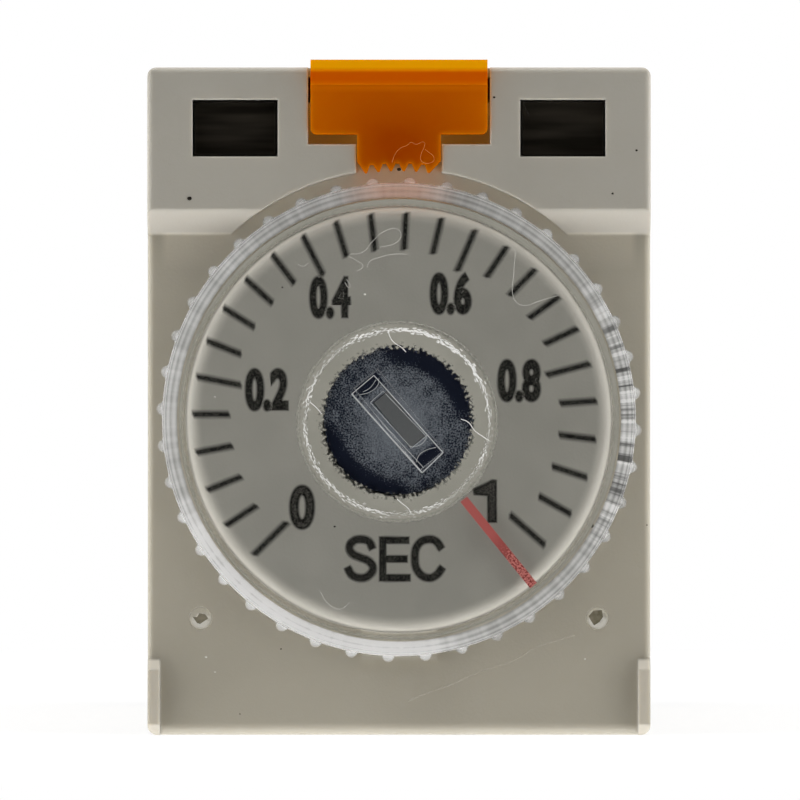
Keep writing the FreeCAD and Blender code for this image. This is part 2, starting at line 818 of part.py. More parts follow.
def pot_wiper():
    """The wiper: a spring washer under the rotor with one finger on the track, in line with the pointer."""
    washer = turned(
        [
            (WIPER_INNER_RADIUS, rotor_back - WIPER_THICKNESS),
            (WIPER_OUTER_RADIUS, rotor_back - WIPER_THICKNESS),
            (WIPER_OUTER_RADIUS, rotor_back),
            (WIPER_INNER_RADIUS, rotor_back),
        ],
        dial_z,
    )
    radius = TRACK_INNER_RADIUS + TRACK_WIDTH / 2
    finger = centred_block(0, dial_z + radius, WIPER_FINGER, WIPER_FINGER, track_face + FIT, rotor_back)
    return turned_to_pointer(washer.fuse(finger).removeSplitter())


pot_pin_places = [polar(POT_PIN_CIRCLE, angle) for angle in POT_PIN_ANGLES]


def pot_pins():
    return [
        centred_block(x, z, POT_PIN, POT_PIN, front_board_back - PIN_STICK_OUT, front_board_front)
        for x, z in pot_pin_places
    ]


# Circuit boards
def board(d0, d1):
    return block(-board_half_width, board_half_width, d0, d1, -board_half_height, board_half_height)


board_pin_places = [
    ((k - (BOARD_PIN_COUNT - 1) / 2) * BOARD_PIN_PITCH, board_pin_z) for k in range(BOARD_PIN_COUNT)
]
coil_pin_reach = FLANGE_SIZE / 2 - COIL_PIN_INSET
coil_pin_places = [(side * coil_pin_reach, coil_z - coil_pin_reach) for side in (-1, 1)]
led_leg_places = [
    (side * lamp_x + leg * LED_LEG_SPACING / 2, lamp_z) for side in (-1, 1) for leg in (-1, 1)
]


def square_holes(places, size, d0, d1):
    return [centred_block(x, z, size + 2 * FIT, size + 2 * FIT, d0, d1) for x, z in places]


def front_board():
    span = (front_board_back, front_board_front)
    holes = square_holes(pot_pin_places, POT_PIN, *span)
    holes += square_holes(board_pin_places, BOARD_PIN, *span)
    holes += square_holes(led_leg_places, LED_LEG, *span)
    holes += square_holes(post_places, STAKE, *span)
    return board(*span).cut(holes)


def power_board():
    span = (power_board_back, power_board_front)
    holes = square_holes(board_pin_places, BOARD_PIN, *span)
    holes += square_holes(coil_pin_places, COIL_PIN, *span)
    slot = block(
        strap_inner - FIT,
        strap_outer + FIT,
        *span,
        ROW_SUPPLY - BLADE_THICKNESS / 2 - FIT,
        ROW_SUPPLY + BLADE_THICKNESS / 2 + FIT,
    )
    return board(*span).cut([*holes, slot, mirrored(slot)])


def board_pins():
    back = power_board_back - PIN_STICK_OUT
    front = front_board_front + PIN_STICK_OUT
    return [centred_block(x, z, BOARD_PIN, BOARD_PIN, back, front) for x, z in board_pin_places]


def led(side):
    """A flat-fronted lamp with a collar at its back."""
    body = centred_block(side * lamp_x, lamp_z, LED_WIDTH - LED_LEG, LED_HEIGHT, led_back, led_front)
    collar = centred_block(side * lamp_x, lamp_z, LED_WIDTH, LED_HEIGHT, led_back, led_back + LED_LEG)
    return body.fuse(collar).removeSplitter()


def led_legs():
    back = front_board_back - PIN_STICK_OUT
    return [centred_block(x, z, LED_LEG, LED_LEG, back, led_back) for x, z in led_leg_places]


def smoothing_capacitor():
    """A can with the crimp groove near its seat."""
    back = power_board_front + CAN_SEAT_THICKNESS
    front = front_board_back - LEG_THICKNESS - CHIP_THICKNESS - CAN_HEADROOM
    groove = back + 2 * CAN_CRIMP_DEPTH
    waist = CAN_RADIUS - CAN_CRIMP_DEPTH
    can = rod(CAN_RADIUS, back, front, CAN_X, CAN_Z)
    ring = rod(CAN_RADIUS + FIT, groove, groove + CAN_CRIMP_DEPTH, CAN_X, CAN_Z)
    return can.cut(ring.cut(rod(waist, groove, groove + CAN_CRIMP_DEPTH, CAN_X, CAN_Z)))


def capacitor_seat():
    front = power_board_front + CAN_SEAT_THICKNESS
    seat = centred_block(CAN_X, CAN_Z, CAN_SEAT_SIZE, CAN_SEAT_SIZE, power_board_front, front)
    return long_edges_rounded(seat, CAN_SEAT_THICKNESS)


def gull_leg(x, z, width, direction, d_board, d_body, reach):
    """A bent leg that leaves a package sideways and stands on the board, pointing up or down in Z."""
    low, high = min(d_board, d_body), max(d_board, d_body)
    thickness = LEG_THICKNESS if d_body > d_board else -LEG_THICKNESS
    foot = sorted((d_board, d_board + thickness))
    outer = z + direction * reach
    riser = sorted((z, z + direction * LEG_THICKNESS))
    sole = sorted((z, outer))
    half = width / 2
    upright = block(x - half, x + half, low, high, *riser)
    return upright.fuse(block(x - half, x + half, *foot, *sole)).removeSplitter()


def rectifier():
    return centred_block(
        RECTIFIER_X,
        RECTIFIER_Z,
        RECTIFIER_WIDTH,
        RECTIFIER_HEIGHT,
        power_board_front + LEG_THICKNESS,
        power_board_front + LEG_THICKNESS + RECTIFIER_THICKNESS,
    )


def rectifier_legs():
    middle = power_board_front + LEG_THICKNESS + RECTIFIER_THICKNESS / 2
    legs = []
    for direction in (-1, 1):
        z = RECTIFIER_Z + direction * RECTIFIER_HEIGHT / 2
        for side in (-1, 1):
            x = RECTIFIER_X + side * RECTIFIER_WIDTH / 4
            legs.append(gull_leg(x, z, LEG_WIDTH, direction, power_board_front, middle, LEG_REACH))
    return legs


def dropper_resistor():
    front = power_board_front + DROPPER_THICKNESS
    return centred_block(DROPPER_X, DROPPER_Z, DROPPER_WIDTH, DROPPER_HEIGHT, power_board_front, front)


def driver_transistor():
    size = (TRANSISTOR_WIDTH, TRANSISTOR_HEIGHT)
    front = power_board_front + TRANSISTOR_THICKNESS
    body = centred_block(TRANSISTOR_X, TRANSISTOR_Z, *size, power_board_front, front)
    return long_edges_rounded(body, LEG_THICKNESS)


def timer_chip():
    back = front_board_back - LEG_THICKNESS - CHIP_THICKNESS
    return centred_block(0, CHIP_Z, CHIP_WIDTH, CHIP_HEIGHT, back, front_board_back - LEG_THICKNESS)


def timer_chip_legs():
    middle = front_board_back - LEG_THICKNESS - CHIP_THICKNESS / 2
    legs = []
    for direction in (-1, 1):
        z = CHIP_Z + direction * CHIP_HEIGHT / 2
        for k in range(CHIP_LEG_COUNT):
            x = (k - (CHIP_LEG_COUNT - 1) / 2) * CHIP_LEG_PITCH
            legs.append(gull_leg(x, z, LEG_WIDTH, direction, front_board_back, middle, LEG_REACH))
    return legs


def timing_capacitor():
    back = front_board_back - FILM_THICKNESS
    return long_edges_rounded(
        centred_block(0, FILM_Z, FILM_WIDTH, FILM_HEIGHT, back, front_board_back), LEG_THICKNESS
    )


def chip_resistors():
    back = front_board_back - CHIP_RESISTOR_THICKNESS
    return [
        centred_block(
            (k - (CHIP_RESISTOR_COUNT - 1) / 2) * CHIP_RESISTOR_PITCH,
            CHIP_RESISTOR_Z,
            CHIP_RESISTOR_LENGTH,
            CHIP_RESISTOR_WIDTH,
            back,
            front_board_back,
        )
        for k in range(CHIP_RESISTOR_COUNT)
    ]


# Base and terminals
def blade_outline():
    """Half of the outline is mirrored about the column: blade through the base, tapered at its tip."""
    wide = BLADE_WIDTH / 2
    tip = BLADE_TIP_WIDTH / 2
    return [
        (column_x - wide, base_front),
        (column_x - wide, BLADE_TAPER - BLADE_LENGTH),
        (column_x - tip, -BLADE_LENGTH),
        (column_x + tip, -BLADE_LENGTH),
        (column_x + wide, BLADE_TAPER - BLADE_LENGTH),
        (column_x + wide, base_front),
    ]


def blade(row):
    depth = EYELET_FROM_TIP - BLADE_LENGTH
    eyelet = stud(EYELET_RADIUS, column_x, depth, row - BLADE_THICKNESS, row + BLADE_THICKNESS)
    return stamping(blade_outline(), row, BLADE_THICKNESS).cut(eyelet)


def strip(x0, x1, d0, d1, z):
    return block(x0, x1, d0, d1, z - BLADE_THICKNESS / 2, z + BLADE_THICKNESS / 2)


# The fixed contacts face the moving ones: the closed contact's top and the resting contact's underside
contact_tilt = CONTACT_RADIUS * math.sin(swing)
rest_contact_depth, rest_contact_z = rest_point(contact_depth, spring_plane)
contact_stack = MOVING_SPRING_THICKNESS / 2 + CONTACT_HEIGHT
no_face = spring_plane + contact_stack + FIT
nc_face = rest_contact_z - contact_stack * math.cos(swing) - contact_tilt - FIT
no_strip_z = no_face + CONTACT_HEIGHT + BLADE_THICKNESS / 2
nc_strip_z = nc_face - CONTACT_HEIGHT - BLADE_THICKNESS / 2


def contact_terminal(row, strip_z, reach):
    """A blade with a riser on the base's inner face and a strip that carries a fixed contact."""
    half = BLADE_WIDTH / 2
    x0, x1 = column_x - half, column_x + half
    low, high = min(row, strip_z), max(row, strip_z)
    riser_end = base_front + BLADE_THICKNESS
    riser = block(x0, x1, base_front, riser_end, low - BLADE_THICKNESS / 2, high + BLADE_THICKNESS / 2)
    arm = strip(x0, x1, base_front, reach, strip_z)
    return blade(row).fuse([riser, arm]).removeSplitter()


def no_terminal():
    return contact_terminal(ROW_NO, no_strip_z, contact_depth + FIXED_STRIP_END)


def nc_terminal():
    return contact_terminal(ROW_NC, nc_strip_z, rest_contact_depth + FIXED_STRIP_END)


def strap_terminal(row, reach):
    """A blade whose strap runs forward past the coil, outside the bobbin's flanges."""
    inner = min(column_x - BLADE_WIDTH / 2, strap_inner)
    outer = max(column_x + BLADE_WIDTH / 2, strap_outer)
    foot = strip(inner, outer, base_front, base_front + STRAP_WIDTH, row)
    strap = strip(strap_inner, strap_outer, base_front, reach, row)
    return blade(row).fuse([foot, strap]).removeSplitter()


tail_depth, tail_z = rest_point(spring_tail_front, spring_plane)
braid_start = tail_depth + FIT


def com_terminal():
    return strap_terminal(ROW_COM, braid_start)


def supply_terminal():
    return strap_terminal(ROW_SUPPLY, power_board_front + PIN_STICK_OUT)


def no_contact():
    return stud(CONTACT_RADIUS, column_x, contact_depth, no_face, no_face + CONTACT_HEIGHT)


def nc_contact():
    return stud(CONTACT_RADIUS, column_x, rest_contact_depth, nc_face - CONTACT_HEIGHT, nc_face)


def com_braid():
    """The flexible lead from a moving spring's tail to its common terminal, a C that bows forward."""
    x = column_x + BRAID_OFFSET
    bow = braid_start + BRAID_LEAD
    crest = bow + BRAID_BEND
    bulge = BRAID_BEND * (1 - math.sqrt(0.5))

    def at(depth, z):
        return Vector(x, -depth, z)

    upper, lower = tail_z, ROW_COM
    upper_bend = [at(bow, upper), at(crest - bulge, upper - bulge), at(crest, upper - BRAID_BEND)]
    lower_bend = [at(crest, lower + BRAID_BEND), at(crest - bulge, lower + bulge), at(bow, lower)]
    curves = [
        Part.LineSegment(at(braid_start, upper), upper_bend[0]),
        Part.Arc(*upper_bend),
        Part.LineSegment(upper_bend[-1], lower_bend[0]),
        Part.Arc(*lower_bend),
        Part.LineSegment(lower_bend[-1], at(braid_start, lower)),
    ]
    path = Part.Wire([curve.toShape() for curve in curves])
    wide = Vector(BRAID_WIDTH / 2, 0, 0)
    thick = Vector(0, 0, BRAID_THICKNESS / 2)
    corners = [-wide - thick, wide - thick, wide + thick, thick - wide]
    section = Part.makePolygon([at(braid_start, upper) + corner for corner in corners + corners[:1]])
    return path.makePipeShell([section], True, False)


def heel_pegs():
    """Two pegs of the base that hold the yoke's heel."""
    z = coil_z + (FLANGE_SIZE / 2 + CORE_RADIUS) / 2
    spread = PEG_SPREAD / 2
    return [centred_block(x, z, PEG, PEG, base_front, bobbin_back) for x in (-spread, spread)]


def base():
    flange = case_outline(0, BASE_FLANGE)
    plug_half_width = inner_half_width - PLUG_CLEARANCE
    plug_half_height = inner_half_height - PLUG_CLEARANCE
    plug = centred_block(0, 0, 2 * plug_half_width, 2 * plug_half_height, BASE_FLANGE, base_front)
    nub_start = BASE_FLANGE + SNAP_SETBACK
    nubs = []
    for z in (-SNAP_SPREAD / 2, SNAP_SPREAD / 2):
        outline = [
            (plug_half_width - FIT, nub_start),
            (half_width - SNAP_RECESS, nub_start),
            (plug_half_width, nub_start + SNAP_DEPTH),
            (plug_half_width - FIT, nub_start + SNAP_DEPTH),
        ]
        nub = stamping(outline, z, SNAP_LENGTH)
        nubs += [nub, mirrored(nub)]

    slots = []
    for row in (ROW_NO, ROW_NC, ROW_COM, ROW_SUPPLY):
        slot = strip(column_x - BLADE_WIDTH / 2, column_x + BLADE_WIDTH / 2, 0, base_front, row)
        pocket_size = (BLADE_WIDTH + 2 * BLADE_POCKET, BLADE_THICKNESS + 2 * BLADE_POCKET)
        pocket = centred_block(column_x, row, *pocket_size, 0, BLADE_POCKET_DEPTH)
        slots += [slot, pocket, mirrored(slot), mirrored(pocket)]
    return flange.fuse([plug, *nubs, *heel_pegs()]).cut(slots).removeSplitter()


# Relay magnet
def yoke():
    """An L of thick strip: a heel on the base and a leg over the coil."""
    half = YOKE_WIDTH / 2
    foot = coil_z - HEEL_DROP
    outline = [
        (base_front, foot),
        (bobbin_back, foot),
        (bobbin_back, yoke_under),
        (pole_face, yoke_under),
        (pole_face, yoke_top),
        (base_front, yoke_top),
    ]
    bent = side_plate(outline, -half, half)

    def at_bend(edge):
        box = edge.BoundBox
        outer = abs(box.YMax + base_front) < TOLERANCE
        return runs_along(edge, Vector(1, 0, 0)) and outer and abs(box.ZMax - yoke_top) < TOLERANCE

    bent = rounded(bent, YOKE_THICKNESS / 2, at_bend)
    return bent.cut([*heel_pegs(), rod(CORE_TAIL_RADIUS, base_front, bobbin_back, z=coil_z)])


def core():
    """The iron core: a riveted tail in the heel, the bar in the bobbin and the pole in front."""
    tail = rod(CORE_TAIL_RADIUS, base_front, bobbin_back, z=coil_z)
    bar = rod(CORE_RADIUS, bobbin_back, bobbin_front, z=coil_z)
    pole = rod(POLE_RADIUS, bobbin_front, pole_face, z=coil_z)
    return tail.fuse([bar, pole]).removeSplitter()


def bobbin():
    tube_radius = CORE_RADIUS + BOBBIN_WALL
    tube = rod(tube_radius, bobbin_back, bobbin_front, z=coil_z)
    flanges = []
    for d in (bobbin_back, bobbin_front - FLANGE_THICKNESS):
        flanges.append(centred_block(0, coil_z, FLANGE_SIZE, FLANGE_SIZE, d, d + FLANGE_THICKNESS))
    inside = bobbin_front - FLANGE_THICKNESS
    pin_holes = [centred_block(x, z, COIL_PIN, COIL_PIN, inside, bobbin_front) for x, z in coil_pin_places]
    bore = rod(CORE_RADIUS, bobbin_back, bobbin_front, z=coil_z)
    return tube.fuse(flanges).cut([bore, *pin_holes]).removeSplitter()


def coil_winding():
    d0 = bobbin_back + FLANGE_THICKNESS
    d1 = bobbin_front - FLANGE_THICKNESS
    return rod(WINDING_RADIUS, d0, d1, z=coil_z).cut(rod(CORE_RADIUS + BOBBIN_WALL, d0, d1, z=coil_z))


def coil_pins():
    d0 = bobbin_front - FLANGE_THICKNESS
    d1 = power_board_front + PIN_STICK_OUT
    return [centred_block(x, z, COIL_PIN, COIL_PIN, d0, d1) for x, z in coil_pin_places]


# Armature and moving contacts, drawn with the magnet closed
carrier_back = hinge_depth - ARMATURE_ARM_LENGTH - CARRIER_OVERHANG
carrier_half = column_x + MOVING_SPRING_WIDTH / 2 + CARRIER_SIDE_WALL
carrier_pin_depth = (carrier_front + hinge_depth - ARMATURE_ARM_LENGTH) / 2


def carrier_pin_bars():
    spread = CARRIER_PIN_SPREAD / 2
    return [shank(CARRIER_PIN, x, carrier_pin_depth, arm_under, arm_top) for x in (-spread, spread)]


def armature():
    """A bent plate: the front faces the pole, and the arm lies over the yoke and carries the contacts."""
    front_half = ARMATURE_WIDTH / 2
    arm_half = ARMATURE_ARM_WIDTH / 2
    front = side_plate(
        [
            (hinge_depth, armature_foot),
            (hinge_depth + ARMATURE_THICKNESS, armature_foot),
            (hinge_depth + ARMATURE_THICKNESS, arm_top),
            (hinge_depth, arm_top),
        ],
        -front_half,
        front_half,
    )
    arm = block(
        -arm_half,
        arm_half,
        hinge_depth - ARMATURE_ARM_LENGTH,
        hinge_depth + ARMATURE_THICKNESS,
        arm_under,
        arm_top,
    )
    tongue = centred_block(
        0,
        (tongue_foot + armature_foot) / 2,
        ARMATURE_TONGUE_WIDTH,
        armature_foot - tongue_foot,
        hinge_depth,
        hinge_depth + ARMATURE_THICKNESS,
    )
    bent = front.fuse([arm, tongue]).removeSplitter()

    def at_bend(edge):
        box = edge.BoundBox
        outer = abs(box.YMin + hinge_depth + ARMATURE_THICKNESS) < TOLERANCE
        return runs_along(edge, Vector(1, 0, 0)) and outer and abs(box.ZMin - arm_top) < TOLERANCE

    return at_rest(rounded(bent, ARMATURE_THICKNESS / 2, at_bend).cut(carrier_pin_bars()))


def return_spring():
    """The folded leaf between the bobbin's flange and the armature's tongue, as wide as the open gap."""
    top = return_spring_top
    foot = tongue_foot
    leaf = bobbin_front + RETURN_SPRING_THICKNESS
    tongue_depth, _ = rest_point(hinge_depth, top)
    finger = tongue_depth - FIT
    outline = [
        (bobbin_front, top),
        (bobbin_front, foot),
        (leaf, foot),
        (finger, top),
        (finger - RETURN_SPRING_THICKNESS, top),
        (leaf, foot + RETURN_SPRING_FOLD),
        (leaf, top),
    ]
    return side_plate(outline, -RETURN_SPRING_WIDTH / 2, RETURN_SPRING_WIDTH / 2)


def moving_spring_bar():
    half = MOVING_SPRING_WIDTH / 2
    thin = MOVING_SPRING_THICKNESS / 2
    return block(
        column_x - half,
        column_x + half,
        contact_depth - MOVING_SPRING_END,
        spring_tail_front,
        spring_plane - thin,
        spring_plane + thin,
    )


def contact_carrier():
    """The moulded bar that insulates the moving springs from the armature, pinned to its arm."""
    bar = block(-carrier_half, carrier_half, carrier_back, carrier_front, arm_top, arm_top + CARRIER_HEIGHT)
    springs = [moving_spring_bar(), mirrored(moving_spring_bar())]
    return at_rest(bar.cut(springs).fuse(carrier_pin_bars()).removeSplitter())


def rivet_shank():
    """The square shank of a moving contact, as long as its spring is thick."""
    thin = MOVING_SPRING_THICKNESS / 2
    return shank(CONTACT_RADIUS, column_x, contact_depth, spring_plane - thin, spring_plane + thin)


def moving_spring():
    return at_rest(moving_spring_bar().cut(rivet_shank()))


def moving_contact():
    """A rivet with a head on each side of the spring."""
    thin = MOVING_SPRING_THICKNESS / 2
    upper = stud(CONTACT_RADIUS, column_x, contact_depth, spring_plane + thin, spring_plane + contact_stack)
    lower = stud(CONTACT_RADIUS, column_x, contact_depth, spring_plane - contact_stack, spring_plane - thin)
    return at_rest(rivet_shank().fuse([upper, lower]).removeSplitter())


def write(name, shape):
    """Writes one node. Several like solids are written together."""
    solids = shape if isinstance(shape, list) else [shape]
    made = Part.makeCompound(solids) if len(solids) > 1 else solids[0]
    made.exportStep(os.path.join("parts", name + ".step"))


def pair(name, right_shape):
    """Writes a right-hand piece and its mirrored left-hand one as two nodes."""
    write(name + "_right", right_shape)
    write(name + "_left", mirrored(right_shape))


def both(right_shape):
    return [right_shape, mirrored(right_shape)]


def main():
    os.makedirs("parts", exist_ok=True)
    write("case", case())
    write("power_lens", mirrored(lens()))
    write("output_lens", lens())
    write("scale_plate", scale_plate())
    write("time_dial", time_dial())
    write("lock_lever", lock_lever())

    write("pot_housing", pot_housing())
    write("pot_cover", pot_cover())
    write("pot_rotor", pot_rotor())
    write("pot_track", pot_track())
    write("pot_wiper", pot_wiper())
    write("pot_pins", pot_pins())

    write("front_board", front_board())
    write("power_led", led(-1))
    write("output_led", led(1))
    write("led_legs", led_legs())
    write("timer_chip", timer_chip())
    write("timer_chip_legs", timer_chip_legs())
    write("timing_capacitor", timing_capacitor())
    write("chip_resistors", chip_resistors())
    write("board_pins", board_pins())
    write("power_board", power_board())
    write("smoothing_capacitor", smoothing_capacitor())
    write("capacitor_seat", capacitor_seat())
    write("rectifier", rectifier())
    write("rectifier_legs", rectifier_legs())
    write("dropper_resistor", dropper_resistor())
    write("driver_transistor", driver_transistor())

    write("base", base())
    pair("no_terminal", no_terminal())
    pair("nc_terminal", nc_terminal())
    pair("com_terminal", com_terminal())
    pair("supply_terminal", supply_terminal())
    write("no_contacts", both(no_contact()))
    write("nc_contacts", both(nc_contact()))
    pair("com_braid", com_braid())

    write("yoke", yoke())
    write("core", core())
    write("bobbin", bobbin())
    write("coil_winding", coil_winding())
    write("coil_pins", coil_pins())
    write("return_spring", return_spring())
    write("armature", armature())
    write("contact_carrier", contact_carrier())
    pair("moving_spring", moving_spring())
    write("moving_contacts", both(moving_contact()))


main()
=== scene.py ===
# %% [markdown]
# # A plug-in timer relay and its looks
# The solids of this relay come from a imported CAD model. This lesson loads them, gives every piece
# its finish, and adds what moulding, printing and handling leave on the real one: printed numbers,
# a painted pointer, cracks in the clear dial, lint and specks. Everything is in the frame of the
# solids: metres, x to the right, y away from the camera and z up.

import json
import math

import bmesh
import bpy
from mathutils import Matrix, Vector, noise


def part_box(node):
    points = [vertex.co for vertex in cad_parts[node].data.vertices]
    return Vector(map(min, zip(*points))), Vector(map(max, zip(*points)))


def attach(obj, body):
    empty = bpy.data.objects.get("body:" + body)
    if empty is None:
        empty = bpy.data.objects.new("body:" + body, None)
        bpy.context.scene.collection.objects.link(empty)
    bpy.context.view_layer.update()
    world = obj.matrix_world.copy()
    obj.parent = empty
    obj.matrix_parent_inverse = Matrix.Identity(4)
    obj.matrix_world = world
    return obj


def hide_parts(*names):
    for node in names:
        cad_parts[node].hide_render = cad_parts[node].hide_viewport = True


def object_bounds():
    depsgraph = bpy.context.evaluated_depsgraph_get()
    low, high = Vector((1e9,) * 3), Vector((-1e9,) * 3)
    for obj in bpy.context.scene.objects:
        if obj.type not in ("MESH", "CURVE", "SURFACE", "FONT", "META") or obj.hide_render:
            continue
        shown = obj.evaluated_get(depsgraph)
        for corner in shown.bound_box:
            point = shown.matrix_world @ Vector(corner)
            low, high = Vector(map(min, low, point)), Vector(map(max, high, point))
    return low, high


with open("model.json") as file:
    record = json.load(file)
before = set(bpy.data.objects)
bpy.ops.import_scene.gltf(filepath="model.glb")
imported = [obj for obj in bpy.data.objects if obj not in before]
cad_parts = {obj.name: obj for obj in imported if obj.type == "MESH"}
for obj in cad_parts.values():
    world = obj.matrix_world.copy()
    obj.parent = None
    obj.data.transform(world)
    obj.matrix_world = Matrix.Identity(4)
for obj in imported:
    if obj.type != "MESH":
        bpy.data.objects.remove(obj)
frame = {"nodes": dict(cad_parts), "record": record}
CAD_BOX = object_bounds()
NODES = frame["nodes"]

# %% [markdown]
# ## Sizes
# The front of the relay is a set of flat layers, so it is handy to think of a depth: how far a face
# stands in front of the socket, in millimetres. Depths are read from the boxes of the solids, and
# only what a box can't tell, such as a wall inside the dial, is written down here.

# %% Depths of the front
MM = 0.001


def front_of(node):
    return -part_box(node)[0].y / MM


def back_of(node):
    return -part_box(node)[1].y / MM


def centre_of(node):
    low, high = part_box(node)
    return (low + high) / 2 / MM


HEADER = front_of("case")
HEADER_RISE = 1.2
PANEL = HEADER - HEADER_RISE
PLATE_FRONT = front_of("scale_plate")
DIAL_FRONT = front_of("time_dial")
SOCKET_FLOOR = front_of("pot_rotor")
DIAL_Z = centre_of("time_dial").z
print(f"panel {PANEL:.3f}, plate {PLATE_FRONT:.3f}, dial {DIAL_FRONT:.3f} mm")

# %% [markdown]
# ## Small tools for nodes
# A material is a graph of nodes. A few short helpers keep the cells readable: they add a node, join
# two sockets, begin a material or a group of nodes, do a sum, mix two shaders, and turn a colour as
# a screen shows it into the linear numbers that the renderer works with.

# %% Node helpers


def add(tree, kind, **settings):
    made = tree.nodes.new("ShaderNode" + kind)
    for name, value in settings.items():
        setattr(made, name, value)
    return made


def join(tree, source, target):
    tree.links.new(source, target)


def linear(value):
    part = value / 255
    return part / 12.92 if part <= 0.04045 else ((part + 0.055) / 1.055) ** 2.4


def colour(red, green, blue):
    return (linear(red), linear(green), linear(blue), 1)


def shade(tone, factor):
    return tuple(min(1, part * factor) for part in tone[:3]) + (1,)


def new_material(name):
    material = bpy.data.materials.new(name)
    material.use_nodes = True
    tree = material.node_tree
    return material, tree, tree.nodes["Principled BSDF"]


def new_group(name, inputs, outputs):
    tree = bpy.data.node_groups.new(name, "ShaderNodeTree")
    for label, value in inputs.items():
        socket = tree.interface.new_socket(label, in_out="INPUT", socket_type="NodeSocketFloat")
        socket.default_value = value
    for label in outputs:
        tree.interface.new_socket(label, in_out="OUTPUT", socket_type="NodeSocketFloat")
    return tree, tree.nodes.new("NodeGroupInput"), tree.nodes.new("NodeGroupOutput")


def use(tree, group, **values):
    made = add(tree, "Group", node_tree=group)
    for label, value in values.items():
        made.inputs[label].default_value = value
    return made


def math_node(tree, operation, first, second=0.0, clamp=False):
    made = add(tree, "Math", operation=operation, use_clamp=clamp)
    for socket, value in zip(made.inputs, (first, second)):
        if isinstance(value, (int, float)):
            socket.default_value = value
        else:
            join(tree, value, socket)
    return made.outputs[0]


def either(tree, share, first, second):
    """A mix of two shaders by a share, which is a socket."""
    mixed = add(tree, "MixShader")
    for source, target in zip((share, first, second), mixed.inputs):
        join(tree, source, target)
    return mixed.outputs["Shader"]


print("node helpers ready")

# %% [markdown]
# ## Effects that several finishes share
# Moulded plastic is never quite even: the steel of the mould leaves a fine grain, the melt leaves
# faint clouds, edges are lighter where they are worn and where they catch light, which is a painted
# highlight, and specks of dust stick anywhere. Each effect is a node group that puts out a mask or a
# height, so that one build serves every material and each material only sets its own scale.

# %% Grain, edge wear and dust groups
grain_tree, grain_in, grain_out = new_group(
    "Moulded grain", {"Grain scale": 9000.0, "Cloud scale": 160.0}, ("Grain", "Clouds")
)
coordinates = add(grain_tree, "TexCoord")
for label, target, detail in (("Grain scale", "Grain", 2.0), ("Cloud scale", "Clouds", 4.0)):
    texture = add(grain_tree, "TexNoise")
    texture.inputs["Detail"].default_value = detail
    join(grain_tree, coordinates.outputs["Object"], texture.inputs["Vector"])
    join(grain_tree, grain_in.outputs[label], texture.inputs["Scale"])
    join(grain_tree, texture.outputs["Fac"], grain_out.inputs[target])

edge_tree, edge_in, edge_out = new_group("Worn and lit edges", {"Radius": 0.2 * MM}, ("Edge",))
bevelled = add(edge_tree, "Bevel", samples=6)
true_normal = add(edge_tree, "NewGeometry")
turn = add(edge_tree, "VectorMath", operation="DOT_PRODUCT")
join(edge_tree, edge_in.outputs["Radius"], bevelled.inputs["Radius"])
join(edge_tree, bevelled.outputs["Normal"], turn.inputs[0])
join(edge_tree, true_normal.outputs["Normal"], turn.inputs[1])
spread = add(edge_tree, "MapRange", clamp=True)
spread.inputs["From Min"].default_value = 0.99
spread.inputs["From Max"].default_value = 0.75
join(edge_tree, turn.outputs["Value"], spread.inputs["Value"])
join(edge_tree, spread.outputs["Result"], edge_out.inputs["Edge"])

dust_tree, dust_in, dust_out = new_group(
    "Dust specks", {"Cell scale": 700.0, "Speck size": 0.1, "Share": 0.05}, ("Speck",)
)
coordinates = add(dust_tree, "TexCoord")
cells = add(dust_tree, "TexVoronoi")
join(dust_tree, coordinates.outputs["Object"], cells.inputs["Vector"])
join(dust_tree, dust_in.outputs["Cell scale"], cells.inputs["Scale"])
near = math_node(dust_tree, "LESS_THAN", cells.outputs["Distance"], dust_in.outputs["Speck size"])
channels = add(dust_tree, "SeparateColor")
join(dust_tree, cells.outputs["Color"], channels.inputs["Color"])
chosen = math_node(dust_tree, "LESS_THAN", channels.outputs["Red"], dust_in.outputs["Share"])
join(dust_tree, math_node(dust_tree, "MULTIPLY", near, chosen), dust_out.inputs["Speck"])
print("shared effects:", [group.name for group in bpy.data.node_groups])

# %% [markdown]
# ## Masks
# A finish differs from place to place, so materials work with masks: numbers that say how much of an
# effect a point gets. A mask starts from a noise or from the coordinates of the object, is stretched
# between two limits, and then blends two colours. Masks can also be multiplied or added.

# %% Mask helpers
NOISE_SPAN = (0.3, 0.7)
CLOUD_SPAN = (0.35, 0.65)


def blend_colours(tree, mask, first, second):
    """A mix of two colours, which may be sockets, by a mask, which is a socket.

    The node has sockets for each kind of data: those for colours are 6 and 7, and 2 puts the mix out.
    """
    made = add(tree, "Mix", data_type="RGBA")
    join(tree, mask, made.inputs["Factor"])
    for socket, value in ((made.inputs[6], first), (made.inputs[7], second)):
        if isinstance(value, tuple):
            socket.default_value = value
        else:
            join(tree, value, socket)
    return made.outputs[2]


def stretch(tree, source, low, high, to_low=0.0, to_high=1.0):
    made = add(tree, "MapRange", clamp=True)
    for label, value in zip(("From Min", "From Max", "To Min", "To Max"), (low, high, to_low, to_high)):
        made.inputs[label].default_value = value
    join(tree, source, made.inputs["Value"])
    return made.outputs["Result"]


def sway(tree, source, amount):
    """A noise as a value between -amount and amount."""
    return stretch(tree, source, *NOISE_SPAN, -amount, amount)


def product(tree, first, *others):
    """Several masks multiplied."""
    for mask in others:
        first = math_node(tree, "MULTIPLY", first, mask)
    return first


def total(tree, first, *others):
    """Several masks added, and held between 0 and 1."""
    for mask in others:
        first = math_node(tree, "ADD", first, mask, True)
    return first


def line_at(tree, place, middle, width, strength):
    """A mask along a line: strong in its middle, and gone at a width to either side."""
    off = math_node(tree, "ABSOLUTE", math_node(tree, "SUBTRACT", place, middle))
    return stretch(tree, off, 0, width, strength, 0)


